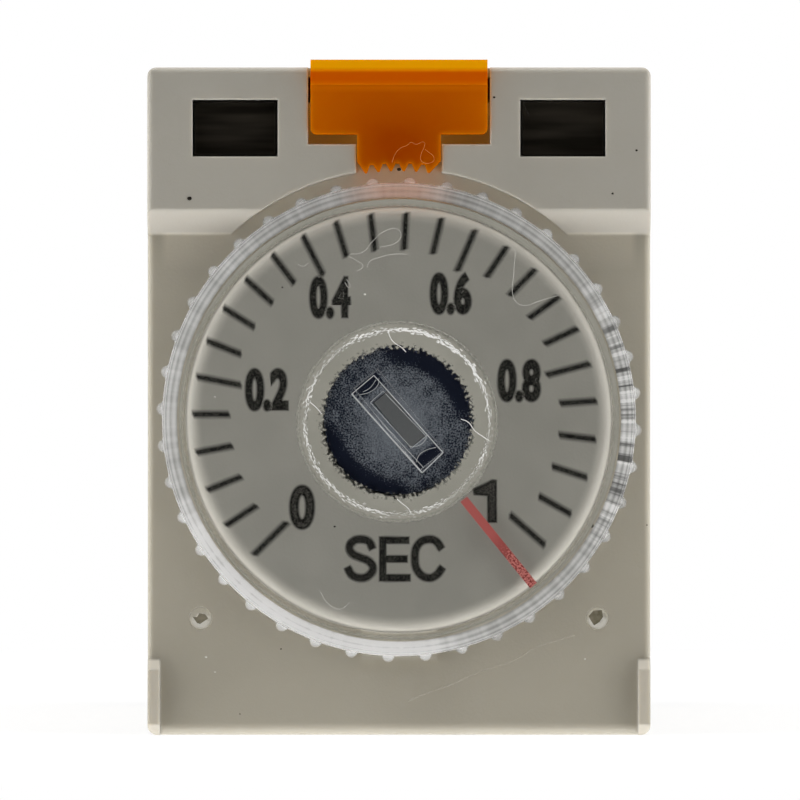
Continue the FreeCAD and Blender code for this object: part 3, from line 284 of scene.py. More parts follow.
def scaled(tree, tone, factor):
    """A colour, or the colour of a socket, made lighter or darker by a factor."""
    made = add(tree, "VectorMath", operation="SCALE")
    if isinstance(tone, tuple):
        made.inputs[0].default_value = tone[:3]
    else:
        join(tree, tone, made.inputs[0])
    join(tree, factor, made.inputs["Scale"])
    return made.outputs["Vector"]


print("mask helpers ready")

# %% [markdown]
# ## Places
# A mask that follows the shape of a piece has to know where a point is. A map of the surface could
# tell, but object coordinates are there already, and they are measured as the solids are. They belong
# to the piece, so a finish stays where it is on the dial when the dial turns.

# %% Place helpers


def place_of(tree):
    """How far a point is to the right, in front of the socket and up, in millimetres."""
    coordinates = add(tree, "TexCoord")
    parts = add(tree, "SeparateXYZ")
    join(tree, coordinates.outputs["Object"], parts.inputs["Vector"])
    units = (MM, -MM, MM)
    return tuple(math_node(tree, "DIVIDE", axis, unit) for axis, unit in zip(parts.outputs, units))


def flat_place(tree, centre, size):
    """Object coordinates from a point of the front, in shares of a size, with the depth left out."""
    coordinates = add(tree, "TexCoord")
    mapping = add(tree, "Mapping", vector_type="TEXTURE")
    mapping.inputs["Location"].default_value = (centre[0] * MM, 0, centre[1] * MM)
    mapping.inputs["Scale"].default_value = (size[0] * MM, MM, size[1] * MM)
    join(tree, coordinates.outputs["Object"], mapping.inputs["Vector"])
    flat = add(tree, "VectorMath", operation="MULTIPLY")
    flat.inputs[1].default_value = (1, 0, 1)
    join(tree, mapping.outputs["Vector"], flat.inputs[0])
    return flat.outputs["Vector"]


def across_dial(tree, scale, shift=(0.0, 0.0)):
    """The flat place from the middle of the dial, or a little off it."""
    return flat_place(tree, (shift[0], DIAL_Z + shift[1]), (scale, scale))


def distance_from(tree, vector):
    made = add(tree, "VectorMath", operation="LENGTH")
    join(tree, vector, made.inputs[0])
    return made.outputs["Value"]


print("place helpers ready")

# %% [markdown]
# ## Moulded plastics
# Case, base, lever, plate and bobbin are all moulded, so one function builds their material from
# the same parts: clouds between two tones of the colour, a lighter edge for wear and as a painted
# highlight, a few specks, and grain as a bump. A texture photo would do too, but it would tile and
# carry the light of another room.

# %% A function for plastics
GRAIN_DEPTH = 0.006
WORN_AND_LIT_SHARE = 0.6
GLOW_DEPTH = 0.5
WARM_GLOW = (1.0, 0.95, 0.85)
SPECK_TONE = colour(70, 64, 54)


def fine_grain(tree, surface, grain_node, depth):
    """The grain as a bump of a depth in millimetres."""
    bump = add(tree, "Bump")
    bump.inputs["Distance"].default_value = depth * MM
    join(tree, grain_node.outputs["Grain"], bump.inputs["Height"])
    join(tree, bump.outputs["Normal"], surface.inputs["Normal"])
    return bump


def uneven_gloss(tree, surface, source, low, high):
    """A roughness between two values, as a noise goes."""
    join(tree, stretch(tree, source, *NOISE_SPAN, low, high), surface.inputs["Roughness"])


def worn_and_lit_edge(tree, tone, radius, edge_tone):
    """A tone that turns into another one along the edges: wear, and a painted highlight."""
    edge_node = use(tree, edge_tree, Radius=radius * MM)
    return blend_colours(tree, product(tree, edge_node.outputs["Edge"], WORN_AND_LIT_SHARE), tone, edge_tone)


def let_light_in(surface, weight, reach):
    """Light that wanders below the surface, as far as reach says for red, green and blue."""
    surface.inputs["Subsurface Weight"].default_value = weight
    surface.inputs["Subsurface Radius"].default_value = reach
    surface.inputs["Subsurface Scale"].default_value = GLOW_DEPTH * MM


def plastic(name, tone, edge_tone, rough, radius=0.0, specks=0.02, glow=0.0, local=None):
    """Moulded plastic. A local function may put another tone in some places of the solid."""
    material, tree, surface = new_material(name)
    grain_node = use(tree, grain_tree)
    clouds = stretch(tree, grain_node.outputs["Clouds"], *CLOUD_SPAN)
    body_colour = scaled(tree, local(tree) if local else tone, stretch(tree, clouds, 0, 1, 0.97, 1.03))
    bump = fine_grain(tree, surface, grain_node, GRAIN_DEPTH)
    if radius:
        # Lighter edges: wear, and a painted highlight where the edges catch light.
        body_colour = worn_and_lit_edge(tree, body_colour, radius, edge_tone)
        round_edge = add(tree, "Bevel", samples=4)
        round_edge.inputs["Radius"].default_value = radius * MM
        join(tree, round_edge.outputs["Normal"], bump.inputs["Normal"])
    if glow:
        let_light_in(surface, glow, WARM_GLOW)
    dust_node = use(tree, dust_tree, Share=specks)
    body_colour = blend_colours(tree, dust_node.outputs["Speck"], body_colour, SPECK_TONE)
    join(tree, body_colour, surface.inputs["Base Color"])
    join(tree, stretch(tree, clouds, 0, 1, rough - 0.05, rough + 0.05), surface.inputs["Roughness"])
    return material


print("plastics ready")

# %% [markdown]
# ## The case
# The case is a beige plastic that lets a little light in. Light and shade are also painted into
# its colour. The slope along the lower edge of the header is lighter, a painted highlight of light
# from below. The panel is lighter and warmer than the header, and its part in the header's notch
# round the top of the dial is much paler: both are painted light against the shade of the header's
# step and the dial. The two ribs at its lower corners are paler still, a painted highlight. Such
# places are easy to tell by their coordinates, so one material for the whole solid is enough.

# %% Case plastic
CASE_TONE = colour(164, 160, 150)
# The slope of the header is painted lighter: a painted highlight of light from below.
BEVEL_HIGHLIGHT_TONE = colour(173, 168, 158)
# The panel is painted lighter and warmer: painted light against the shade of the header's step.
LIT_PANEL_TONE = colour(172, 166, 151)
# The ribs are painted paler: a painted highlight.
RIB_HIGHLIGHT_TONE = colour(192, 186, 173)
PALE_CASE = colour(175, 170, 159)
# The panel in the notch round the top of the dial is painted pale, to lift the shade there.
RECESS_LIGHT_TONE = colour(222, 214, 196)
HEADER_SLOPE = (HEADER - 0.02, HEADER - 0.15)
PANEL_WALL = (PANEL + 0.15, PANEL + 0.02)
RECESS = (5.5, 8.5)
RECESS_END = (9.75, 9.95, 1, 0)
RECESS_DEPTH = (PANEL - 0.3, PANEL - 0.1)
RIB_EDGE = 10.02
RECESS_SIDE = (RIB_EDGE - 0.3, RIB_EDGE, 1, 0)
RIB_SIDE = (RIB_EDGE, RIB_EDGE + 0.06)
RIB_TOP = (-10.75, -10.9)
RIB_FACE = (PANEL, PANEL + 0.1)


def case_tones(tree):
    across, depth, height = place_of(tree)
    aside = math_node(tree, "ABSOLUTE", across)
    # Painted light: a highlight on the header's slope, a lighter panel and notch, highlighted ribs.
    tone = blend_colours(tree, stretch(tree, depth, *HEADER_SLOPE), CASE_TONE, BEVEL_HIGHLIGHT_TONE)
    lit_recess = product(
        tree,
        stretch(tree, height, *RECESS),
        stretch(tree, height, *RECESS_END),
        stretch(tree, depth, *RECESS_DEPTH),
        stretch(tree, aside, *RECESS_SIDE),
    )
    lit_panel_tone = blend_colours(tree, lit_recess, LIT_PANEL_TONE, RECESS_LIGHT_TONE)
    tone = blend_colours(tree, stretch(tree, depth, *PANEL_WALL), tone, lit_panel_tone)
    rib_highlight = product(
        tree,
        stretch(tree, aside, *RIB_SIDE),
        stretch(tree, height, *RIB_TOP),
        stretch(tree, depth, *RIB_FACE),
    )
    return blend_colours(tree, rib_highlight, tone, RIB_HIGHLIGHT_TONE)


case_plastic = plastic(
    "case plastic", CASE_TONE, PALE_CASE, 0.48, radius=0.15, glow=0.6, local=case_tones
)
print("case plastic done")

# %% [markdown]
# ## The plate
# The plate below the dial is greyer than the case. It is painted paler where its rim rolls over, a
# painted highlight, and dark at the top of the gap beside it, a painted shade; the wall further back
# is painted pale, so that it throws light back into the gap. Here the distance from the middle of
# the dial tells the places apart.

# %% Plate plastic
PLATE_TONE = colour(142, 140, 131)
# Painted highlight on the rolled rim.
ROLL_HIGHLIGHT_TONE = colour(180, 176, 165)
# Painted shade at the top of the gap beside the rim.
GAP_SHADE_TONE = colour(92, 90, 84)
# The wall further back is painted pale, so that it throws light into the gap.
BOUNCE_WALL_TONE = colour(200, 196, 184)
PLATE_EDGE = (8.22, 8.78)
PLATE_GAP = (8.8, 8.9)
GAP_DEPTH = (PLATE_FRONT - 0.52, PLATE_FRONT - 0.6)
PLATE_END = (8.92, 8.98)


def plate_tones(tree):
    depth = place_of(tree)[1]
    reach = distance_from(tree, across_dial(tree, 1))
    # Painted shade at the top of the rim's wall, and a pale wall behind it that throws light.
    rim = blend_colours(tree, stretch(tree, depth, *GAP_DEPTH), GAP_SHADE_TONE, BOUNCE_WALL_TONE)
    tone = blend_colours(tree, stretch(tree, reach, *PLATE_EDGE), PLATE_TONE, ROLL_HIGHLIGHT_TONE)
    tone = blend_colours(tree, stretch(tree, reach, *PLATE_GAP), tone, rim)
    return blend_colours(tree, stretch(tree, reach, *PLATE_END), tone, LIT_PANEL_TONE)


plate_plastic = plastic("plate plastic", PLATE_TONE, ROLL_HIGHLIGHT_TONE, 0.5, specks=0.01, local=plate_tones)
print("plate plastic done")

# %% [markdown]
# ## The plastics inside
# Base, bobbin, potentiometer and capacitor are plain mouldings in their usual colours.

# %% Inner plastics
base_plastic = plastic("base plastic", colour(52, 54, 56), colour(80, 82, 84), 0.5)
bobbin_plastic = plastic("bobbin plastic", colour(214, 210, 196), colour(226, 222, 210), 0.45)
blue_plastic = plastic("blue plastic", colour(44, 62, 96), colour(70, 90, 126), 0.4)
black_plastic = plastic("black plastic", colour(30, 30, 32), colour(56, 56, 58), 0.42)
film_plastic = plastic("film capacitor plastic", colour(168, 52, 34), colour(190, 76, 54), 0.35)
print("plastics done")

# %% [markdown]
# ## The rest of the finishes
# Metal shows its rolling lines and clear plastic its own shape; the laminate is made like the
# plastics. Metals get a stretched noise in their roughness, so that the highlight breaks up along
# the strip.

# %% Metals and other inner finishes


def metal(name, tone, rough, along=(1, 1, 1)):
    material, tree, surface = new_material(name)
    coordinates = add(tree, "TexCoord")
    mapping = add(tree, "Mapping")
    mapping.inputs["Scale"].default_value = along
    lines = add(tree, "TexNoise")
    lines.inputs["Scale"].default_value = 6000.0
    lines.inputs["Detail"].default_value = 3.0
    join(tree, coordinates.outputs["Object"], mapping.inputs["Vector"])
    join(tree, mapping.outputs["Vector"], lines.inputs["Vector"])
    body_colour = blend_colours(tree, lines.outputs["Fac"], shade(tone, 0.8), shade(tone, 1.1))
    join(tree, body_colour, surface.inputs["Base Color"])
    uneven_gloss(tree, surface, lines.outputs["Fac"], rough - 0.1, rough + 0.12)
    surface.inputs["Metallic"].default_value = 1.0
    return material


ALONG_BLADE = (1, 0.04, 1)
FINISHES = {
    "case_plastic": case_plastic,
    "base_plastic": base_plastic,
    "bobbin_plastic": bobbin_plastic,
    "blue_plastic": blue_plastic,
    "black_plastic": black_plastic,
    "film_plastic": film_plastic,
    "led_plastic": plastic("lamp plastic", colour(196, 60, 40), colour(222, 96, 70), 0.25),
    "board_laminate": plastic("board laminate", colour(40, 92, 62), colour(150, 150, 110), 0.4),
    "resistor_ceramic": plastic("resistor ceramic", colour(34, 34, 36), colour(200, 200, 196), 0.35),
    "can_aluminium": metal("can aluminium", colour(206, 208, 210), 0.3),
    "tinned_metal": metal("tinned metal", colour(200, 200, 196), 0.35),
    "blade_metal": metal("blade metal", colour(208, 204, 190), 0.32, ALONG_BLADE),
    "magnet_iron": metal("magnet iron", colour(150, 148, 142), 0.42),
    "spring_bronze": metal("spring bronze", colour(206, 152, 96), 0.35, ALONG_BLADE),
    "spring_steel": metal("spring steel", colour(170, 172, 176), 0.32),
    "contact_silver": metal("contact silver", colour(226, 224, 218), 0.28),
    "copper": metal("copper wire", colour(196, 112, 70), 0.38, (1, 1, 0.1)),
}
print("finishes:", len(FINISHES))

# %% [markdown]
# ## The lock lever
# The lever is a saturated orange plastic that lets some light in, so its thin edges glow yellow
# while its middle stays deep. That glow is painted: the colour fades from the deep middle to lighter
# ends, and the edges are painted yellow. Across its lip run a groove in painted shade, a crest line
# with a painted highlight and a facet that looks up, painted bright as a highlight, which are told
# apart by their height.
# Shadow rays and diffuse rays go straight through it, tinted, so the notch behind gets light too.

# %% Orange plastic
LEVER_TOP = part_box("lock_lever")[1].z / MM
LEVER_HEART = (0, centre_of("lock_lever").z - 1.2)
LEVER_SPAN = (3.9, 2.9)
LEVER_GLOW_FADE = (0.15, 1.05)
LEVER_UNEVEN = 0.08
LEVER_EDGE = 0.45
LEVER_GRAIN = 0.003
LEVER_GLOW = (1.0, 0.4, 0.05)
LEVER_TINT = (0.9, 0.58, 0.22, 1)
LIP_GROOVE_SHADE = (LEVER_TOP - 1.15, LEVER_TOP - 0.85)
LIP_FACET_HIGHLIGHT = (LEVER_TOP - 0.54, LEVER_TOP - 0.32)
CREST_HIGHLIGHT = (LEVER_TOP - 1.17, 0.22, 0.8)
NO_TINT = (1, 1, 1, 1)


def pass_light(tree, shader, tint=NO_TINT):
    """Let shadow rays and diffuse rays go straight through a clear, milky or translucent surface."""
    through = add(tree, "BsdfTransparent")
    through.inputs["Color"].default_value = tint
    path = add(tree, "LightPath")
    passing = math_node(tree, "MAXIMUM", path.outputs["Is Shadow Ray"], path.outputs["Is Diffuse Ray"])
    mixed = either(tree, passing, shader, through.outputs["BSDF"])
    join(tree, mixed, tree.nodes["Material Output"].inputs["Surface"])


def orange_plastic():
    material, tree, surface = new_material("orange plastic")
    grain_node = use(tree, grain_tree, **{"Grain scale": 7000.0, "Cloud scale": 500.0})
    clouds = grain_node.outputs["Clouds"]
    # Painted glow: the colour grows lighter from the deep middle towards the ends.
    reach = distance_from(tree, flat_place(tree, LEVER_HEART, LEVER_SPAN))
    glow = total(tree, stretch(tree, reach, *LEVER_GLOW_FADE), sway(tree, clouds, LEVER_UNEVEN))
    body_colour = blend_colours(tree, glow, colour(152, 60, 0), colour(184, 92, 1))
    # Painted glow along the thin edges.
    body_colour = worn_and_lit_edge(tree, body_colour, LEVER_EDGE, colour(196, 124, 6))
    height = place_of(tree)[2]
    # Painted shade in the groove of the lip.
    groove = stretch(tree, height, *LIP_GROOVE_SHADE)
    body_colour = blend_colours(tree, groove, body_colour, colour(166, 71, 0))
    # Painted highlight on the facet that looks up.
    facet = stretch(tree, height, *LIP_FACET_HIGHLIGHT)
    body_colour = blend_colours(tree, facet, body_colour, colour(210, 144, 2))
    # Painted highlight along the crest line.
    crest = line_at(tree, height, *CREST_HIGHLIGHT)
    body_colour = blend_colours(tree, crest, body_colour, colour(194, 104, 2))
    join(tree, body_colour, surface.inputs["Base Color"])
    uneven_gloss(tree, surface, clouds, 0.3, 0.42)
    fine_grain(tree, surface, grain_node, LEVER_GRAIN)
    surface.inputs["Specular IOR Level"].default_value = 0.0
    let_light_in(surface, 0.35, LEVER_GLOW)
    pass_light(tree, surface.outputs["BSDF"], LEVER_TINT)
    return material


FINISHES["orange_plastic"] = orange_plastic()
print("lever finish done")

# %% [markdown]
# ## The lamp lenses
# The lenses are smoked almost black and polished, with faint streaks along the flow of the melt and
# a little dust. Stretching the coordinates of a noise turns its clouds into such streaks.

# %% Smoked lens
STREAK_STRETCH = (0.12, 1, 1)


def smoked_lens():
    material, tree, surface = new_material("smoked lens")
    grain_node = use(tree, grain_tree, **{"Grain scale": 3000.0, "Cloud scale": 900.0})
    coordinates = add(tree, "TexCoord")
    mapping = add(tree, "Mapping")
    mapping.inputs["Scale"].default_value = STREAK_STRETCH
    join(tree, coordinates.outputs["Object"], mapping.inputs["Vector"])
    streaks = add(tree, "TexNoise")
    streaks.inputs["Scale"].default_value = 1600.0
    join(tree, mapping.outputs["Vector"], streaks.inputs["Vector"])
    band = stretch(tree, streaks.outputs["Fac"], 0.35, 0.7)
    body_colour = blend_colours(tree, band, colour(22, 20, 16), colour(46, 42, 36))
    dust_node = use(tree, dust_tree, **{"Cell scale": 1500.0, "Share": 0.03})
    body_colour = blend_colours(tree, dust_node.outputs["Speck"], body_colour, colour(110, 106, 98))
    join(tree, body_colour, surface.inputs["Base Color"])
    uneven_gloss(tree, surface, grain_node.outputs["Clouds"], 0.12, 0.25)
    surface.inputs["Specular IOR Level"].default_value = 0.12
    return material


FINISHES["smoked_plastic"] = smoked_lens()
print("lens finish done")

# %% [markdown]
# ## The clear plastic
# The dial is polished clear plastic. A Principled shader with full transmission bends the light as
# the real one does. Cycles would cast a hard dark shadow below it, because light that is bent twice
# is hard to find, so here too shadow rays and diffuse rays go straight through: the print below
# stays lit. The grip ridges are so thin that they are made fainter than the rest.

# %% Clear plastic
RIDGE_EDGE = (9.9, 10.0, 1.0, 0.4)
CLEAR_GRAIN = 0.002


def clear_plastic():
    material, tree, surface = new_material("clear plastic")
    grain_node = use(tree, grain_tree, **{"Grain scale": 2600.0, "Cloud scale": 500.0})
    clouds = stretch(tree, grain_node.outputs["Clouds"], *CLOUD_SPAN)
    body_colour = blend_colours(tree, clouds, colour(244, 244, 244), colour(252, 252, 252))
    join(tree, body_colour, surface.inputs["Base Color"])
    join(tree, stretch(tree, clouds, 0, 1, 0.0, 0.02), surface.inputs["Roughness"])
    reach = distance_from(tree, across_dial(tree, 1))
    join(tree, stretch(tree, reach, *RIDGE_EDGE), surface.inputs["Alpha"])
    surface.inputs["Transmission Weight"].default_value = 1.0
    surface.inputs["IOR"].default_value = 1.49
    fine_grain(tree, surface, grain_node, CLEAR_GRAIN)
    pass_light(tree, surface.outputs["BSDF"])
    return material


FINISHES["clear_plastic"] = clear_plastic()
print("clear plastic done")

# %% [markdown]
# ## A finish for every solid
# The record lists material slots and the nodes that wear them. Most solids keep their own shape, so
# they only need the material of their slot.

# %% Dress the solids
SLOT_OF = {row["node"]: row["material_slot"] for row in frame["record"]["subparts"]}
for node, solid in NODES.items():
    solid.data.materials.clear()
    solid.data.materials.append(FINISHES[SLOT_OF[node]])
NODES["scale_plate"].data.materials[0] = plate_plastic
print("dressed:", len(SLOT_OF))

# %% [markdown]
# ## Tools for new pieces
# A piece of the front is easiest to draw lying flat: x to the right, y up and z towards the reader,
# in millimetres. One matrix then stands the drawing up in front of the relay and turns millimetres
# into metres, so the finished object stays at the origin with its place in its mesh.

# %% Drawing helpers
scene = bpy.context.scene
FACE_ON = Matrix.Rotation(math.radians(90), 4, "X")


def stand(drawing, depth, z=0.0):
    place = Matrix.Translation((0, -depth * MM, z * MM)) @ FACE_ON @ Matrix.Scale(MM, 4)
    bmesh.ops.transform(drawing, matrix=place, verts=drawing.verts[:])


def show(name, data):
    made = bpy.data.objects.new(name, data)
    scene.collection.objects.link(made)
    return made


def keep(drawing, name, material, body, replaced=(), crease=35, second=None):
    """Make the drawing a piece that rides on a body, smooth up to the crease angle."""
    bmesh.ops.recalc_face_normals(drawing, faces=drawing.faces[:])
    mesh = bpy.data.meshes.new(name)
    drawing.to_mesh(mesh)
    drawing.free()
    mesh.materials.append(material)
    if second:
        mesh.materials.append(second)
    mesh.polygons.foreach_set("use_smooth", [True] * len(mesh.polygons))
    mesh.set_sharp_from_angle(angle=math.radians(crease))
    piece = show(name, mesh)
    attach(piece, body)
    if replaced:
        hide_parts(*replaced)
    print(f"{name}: {len(mesh.polygons)} faces on {body}")


print("drawing helpers ready")

# %% [markdown]
# ## Round shapes
# Plate and dial are bodies of revolution: an outline of radii and heights is spun once round the
# middle, and arcs round its corners off. Angles go clockwise from the top, as one reads a dial.

# %% Shape helpers


def heading(radius, angle, height=0.0):
    """A point at a clock angle: degrees clockwise from the top."""
    turn = math.radians(angle)
    return Vector((radius * math.sin(turn), radius * math.cos(turn), height))


def spun(outline, steps, start=0.0, closed=True):
    """Spin an outline of (radius, height) points once round the middle."""
    drawing = bmesh.new()
    corners = [drawing.verts.new(heading(radius, start, height)) for radius, height in outline]
    followers = corners[1:] + corners[:1] if closed else corners[1:]
    edges = [drawing.edges.new(pair) for pair in zip(corners, followers)]
    bmesh.ops.spin(
        drawing,
        geom=corners + edges,
        axis=(0, 0, 1),
        angle=math.tau,
        steps=steps,
        use_merge=True,
    )
    bmesh.ops.remove_doubles(drawing, verts=drawing.verts[:], dist=1e-5)
    return drawing


def block(drawing, size, place):
    """A box of a size with its middle at a place. Its corners are put out."""
    corners = bmesh.ops.create_cube(drawing, size=1)["verts"]
    bmesh.ops.scale(drawing, verts=corners, vec=size)
    bmesh.ops.translate(drawing, verts=corners, vec=place)
    return corners


def bow(radius, centre, start, end, steps):
    """Points on an arc, in (radius, height), for a rounded corner of an outline."""
    angles = [math.radians(start + (end - start) * k / steps) for k in range(steps + 1)]
    return [(centre[0] + radius * math.sin(a), centre[1] + radius * math.cos(a)) for a in angles]


print("shape helpers ready")

# %% [markdown]
# ## The scale plate
# The plate is a thick disc whose rim rolls over in a generous curve: that curve carries the pale
# line round the scale, which its material paints as a highlight. It is a body of revolution, so its
# outline is spun, with the curve as an arc. The small tab that stops the plate from turning is a
# plain block at the bottom.

# %% Scale disc
PLATE_RADIUS = 8.9
PLATE_ROLL = 0.6
PLATE_BORE = 4.05
BORE_ROUND = 0.1
PLATE_BOSS = 5.0
PLATE_TAB = (3.2, 1.2, 0.4)
TAB_ROOT = 0.4
PLATE_STEPS = 192
plate_back = back_of("scale_plate") - PLATE_FRONT
panel_level = PANEL - PLATE_FRONT
roll = bow(PLATE_ROLL, (PLATE_RADIUS - PLATE_ROLL, -PLATE_ROLL), 90, 0, 8)
outline = [
    (PLATE_BORE, plate_back),
    (PLATE_BOSS, plate_back),
    (PLATE_BOSS, panel_level),
    (PLATE_RADIUS, panel_level),
    *roll,
    *bow(BORE_ROUND, (PLATE_BORE + BORE_ROUND, -BORE_ROUND), 0, -90, 4),
]
disc = spun(outline, PLATE_STEPS)
tab_width, tab_reach, tab_height = PLATE_TAB
tab_middle = -PLATE_RADIUS - (tab_reach - TAB_ROOT) / 2
tab_place = (0, tab_middle, panel_level + tab_height / 2)
block(disc, (tab_width, tab_reach + TAB_ROOT, tab_height), tab_place)
stand(disc, PLATE_FRONT, z=DIAL_Z)
keep(disc, "scale_disc", plate_plastic, "housing", ["scale_plate"])

# %% [markdown]
# ## Printing ink
# Pad printing lays a film of ink that is not quite dense, so its colour is broken by a fine noise. It
# has also crept a little past its outline, where it thins out. Each vertex of a print therefore
# carries a value for how well the ink covers there: full in the middle of a stroke and nothing at its
# outline. The material reads it as its alpha.

# %% Inks
COVER = "cover"
DENSE_AT = 0.8
INK_GRAIN = 14000.0


def broken_ink(name, dense, thin, low, high, scale=INK_GRAIN):
    material, tree, surface = new_material(name)
    grain_node = use(tree, grain_tree, **{"Grain scale": scale})
    patches = stretch(tree, grain_node.outputs["Grain"], low, high)
    join(tree, blend_colours(tree, patches, dense, thin), surface.inputs["Base Color"])
    join(tree, stretch(tree, patches, 0, 1, 0.5, 0.7), surface.inputs["Roughness"])
    surface.inputs["Specular IOR Level"].default_value = 0.08
    return material


def soft_ink(name, dense, thin):
    """Ink that thins out where the mesh says so: its cover is an attribute of the vertices."""
    material = broken_ink(name, dense, thin, 0.4, 0.65)
    tree = material.node_tree
    spread = add(tree, "Attribute", attribute_name=COVER)
    front = math_node(tree, "SUBTRACT", 1.0, add(tree, "NewGeometry").outputs["Backfacing"])
    film = product(tree, stretch(tree, spread.outputs["Fac"], 0, DENSE_AT), front)
    surface = tree.nodes["Principled BSDF"]
    join(tree, film, surface.inputs["Alpha"])
    pass_light(tree, surface.outputs["BSDF"])
    return material


black_ink = soft_ink("black ink", colour(13, 13, 12), colour(54, 53, 48))
thin_ink = broken_ink("thin ink", colour(34, 33, 30), colour(72, 70, 65), 0.4, 0.6)
print("inks:", black_ink.name, "and", thin_ink.name)

# %% [markdown]
# ## Scale lines
# The film of ink is a hundredth of a millimetre thick. The lines are thin strips, set round the middle
# by a formula for their angle, and they follow the roll of the plate's rim.

# %% Scale lines
INK = 0.012
INTERVALS = 25
LONG_EVERY = 5
PRINT_SHIFT = (-0.17, 0.19)
MIDDLE_ANGLE = -1.9
LINE_STEP = 10.1
LINE_SPREAD = 0.0034
LINE_WIDTH = 0.46
LINE_OUTER = 8.52
LINE_INNER = 6.82
LONG_INNER = 6.44
END_LINE = (6.26, 8.4)


def roll_drop(radius):
    """How far the plate's surface has dropped below its flat front at a radius."""
    over = max(0.0, radius - (PLATE_RADIUS - PLATE_ROLL))
    return PLATE_ROLL - math.sqrt(PLATE_ROLL**2 - over**2)


lines = bmesh.new()
cover = lines.verts.layers.float.new(COVER)
for k in range(INTERVALS + 1):
    inner, outer = (LONG_INNER if k % LONG_EVERY == 0 else LINE_INNER), LINE_OUTER
    if k in (0, INTERVALS):
        inner, outer = END_LINE
    place = k - INTERVALS / 2
    angle = MIDDLE_ANGLE + LINE_STEP * place + LINE_SPREAD * place**3
    strip = bmesh.ops.create_grid(lines, x_segments=2, y_segments=12, size=0.5)["verts"]
    for corner in strip:
        corner[cover] = float(abs(corner.co.x) < 0.1 and abs(corner.co.y) < 0.49)
    bmesh.ops.scale(lines, verts=strip, vec=(LINE_WIDTH, outer - inner, 1))
    bmesh.ops.translate(lines, verts=strip, vec=(0, (inner + outer) / 2, 0))
    bmesh.ops.rotate(lines, verts=strip, matrix=Matrix.Rotation(-math.radians(angle), 3, "Z"))
bmesh.ops.translate(lines, verts=lines.verts[:], vec=(*PRINT_SHIFT, 0))
for corner in lines.verts:
    corner.co.z = INK - roll_drop(corner.co.xy.length)
bmesh.ops.solidify(lines, geom=lines.faces[:], thickness=2 * INK)
stand(lines, PLATE_FRONT, z=DIAL_Z)
keep(lines, "scale_lines", black_ink, "housing")

# %% [markdown]
# ## Text as print
# Blender turns text into mesh, so each word is made that way and then stretched to the width and
# height of its print. To let the ink creep, the outline is first doubled by a small inset, and then
# its outer copy is pushed outwards, so the cover fades between the two. At last the flat print gets
# its thickness.

# %% Print helpers
BLEED = 0.11
BLEED_START = 0.035


def thicken(drawing):
    """Make a flat print a film whose back is sunk in the plate."""
    bmesh.ops.recalc_face_normals(drawing, faces=drawing.faces[:])
    bmesh.ops.solidify(drawing, geom=drawing.faces[:], thickness=2 * INK)
    stand(drawing, PLATE_FRONT + INK, z=DIAL_Z)


def mesh_of(data):
    """The mesh that Blender makes of a text or a curve."""
    holder = show("holder", data)
    ready = holder.evaluated_get(bpy.context.evaluated_depsgraph_get())
    mesh = bpy.data.meshes.new_from_object(ready)
    bpy.data.objects.remove(holder)
    return mesh


def lettered(words, weight):
    """Text as one flat drawing: each word is stretched to its own box of (x, y, width, height)."""
    drawing = bmesh.new()
    for word, (x, y, width, height) in words.items():
        text = bpy.data.curves.new("print", "FONT")
        text.body = word
        text.offset = weight
        mesh = mesh_of(text)
        low = Vector([min(v.co[axis] for v in mesh.vertices) for axis in range(3)])
        high = Vector([max(v.co[axis] for v in mesh.vertices) for axis in range(3)])
        middle = (low + high) / 2
        size = Matrix.Diagonal((width / (high.x - low.x), height / (high.y - low.y), 1, 1))
        mesh.transform(Matrix.Translation((x, y, 0)) @ size @ Matrix.Translation(-middle))
        drawing.from_mesh(mesh)
        bpy.data.meshes.remove(mesh)
    bmesh.ops.remove_doubles(drawing, verts=drawing.verts[:], dist=1e-4)
    return drawing


def soften(drawing):
    """Spread a flat print outwards and let its cover fade to nothing at the new outline."""
    cover = drawing.verts.layers.float.new(COVER)
    bmesh.ops.recalc_face_normals(drawing, faces=drawing.faces[:])
    whole = drawing.faces[:]
    bmesh.ops.inset_region(drawing, faces=whole, thickness=BLEED_START, use_boundary=True)
    for edge in drawing.edges:
        if sum(corner.is_boundary for corner in edge.verts) == 1:
            outer, inner = sorted(edge.verts, key=lambda corner: not corner.is_boundary)
            outer.co += (outer.co - inner.co) * (BLEED / BLEED_START)
    for corner in drawing.verts:
        corner[cover] = float(not corner.is_boundary)
    return whole


print("print helpers ready")

# %% [markdown]
# ## Numbers
# Most numbers are plain text. The two at the ends are printed thinner: the middle of their strokes
# gets a second, greyer ink. The 1 has a shape of its own, so it is drawn by its corners.

# %% Numbers
NUMBERS = {
    "0.2": (-5.52, 1.24, 1.74, 1.71),
    "0.4": (-2.88, 5.1, 1.64, 1.69),
    "0.6": (2.16, 5.27, 1.66, 1.69),
    "0.8": (5.02, 1.62, 1.72, 1.71),
}
ZERO = {"0": (-4.05, -3.67, 0.98, 1.78)}
ONE_PLACE = (3.89, -3.42)
ONE_STEM = ((0.16, 0.85), (0.16, -0.85), (-0.16, -0.85), (-0.16, 0.26))
ONE_FLAG = ((-0.72, 0.3), (-0.74, 0.48), (0.0, 0.85))
NUMBER_WEIGHT = 0.03
INK_EDGE = 0.04

numbers = lettered(NUMBERS, NUMBER_WEIGHT)
soften(numbers)
thicken(numbers)
keep(numbers, "scale_numbers", black_ink, "housing")

ends = lettered(ZERO, NUMBER_WEIGHT)
corners = [ends.verts.new((ONE_PLACE[0] + x, ONE_PLACE[1] + y, 0)) for x, y in ONE_STEM + ONE_FLAG]
ends.faces.new(corners)
middles = soften(ends)
bmesh.ops.inset_region(ends, faces=middles, thickness=INK_EDGE, use_boundary=True)
for face in middles:
    face.material_index = 1
thicken(ends)
keep(ends, "scale_end_numbers", black_ink, "housing", second=thin_ink)

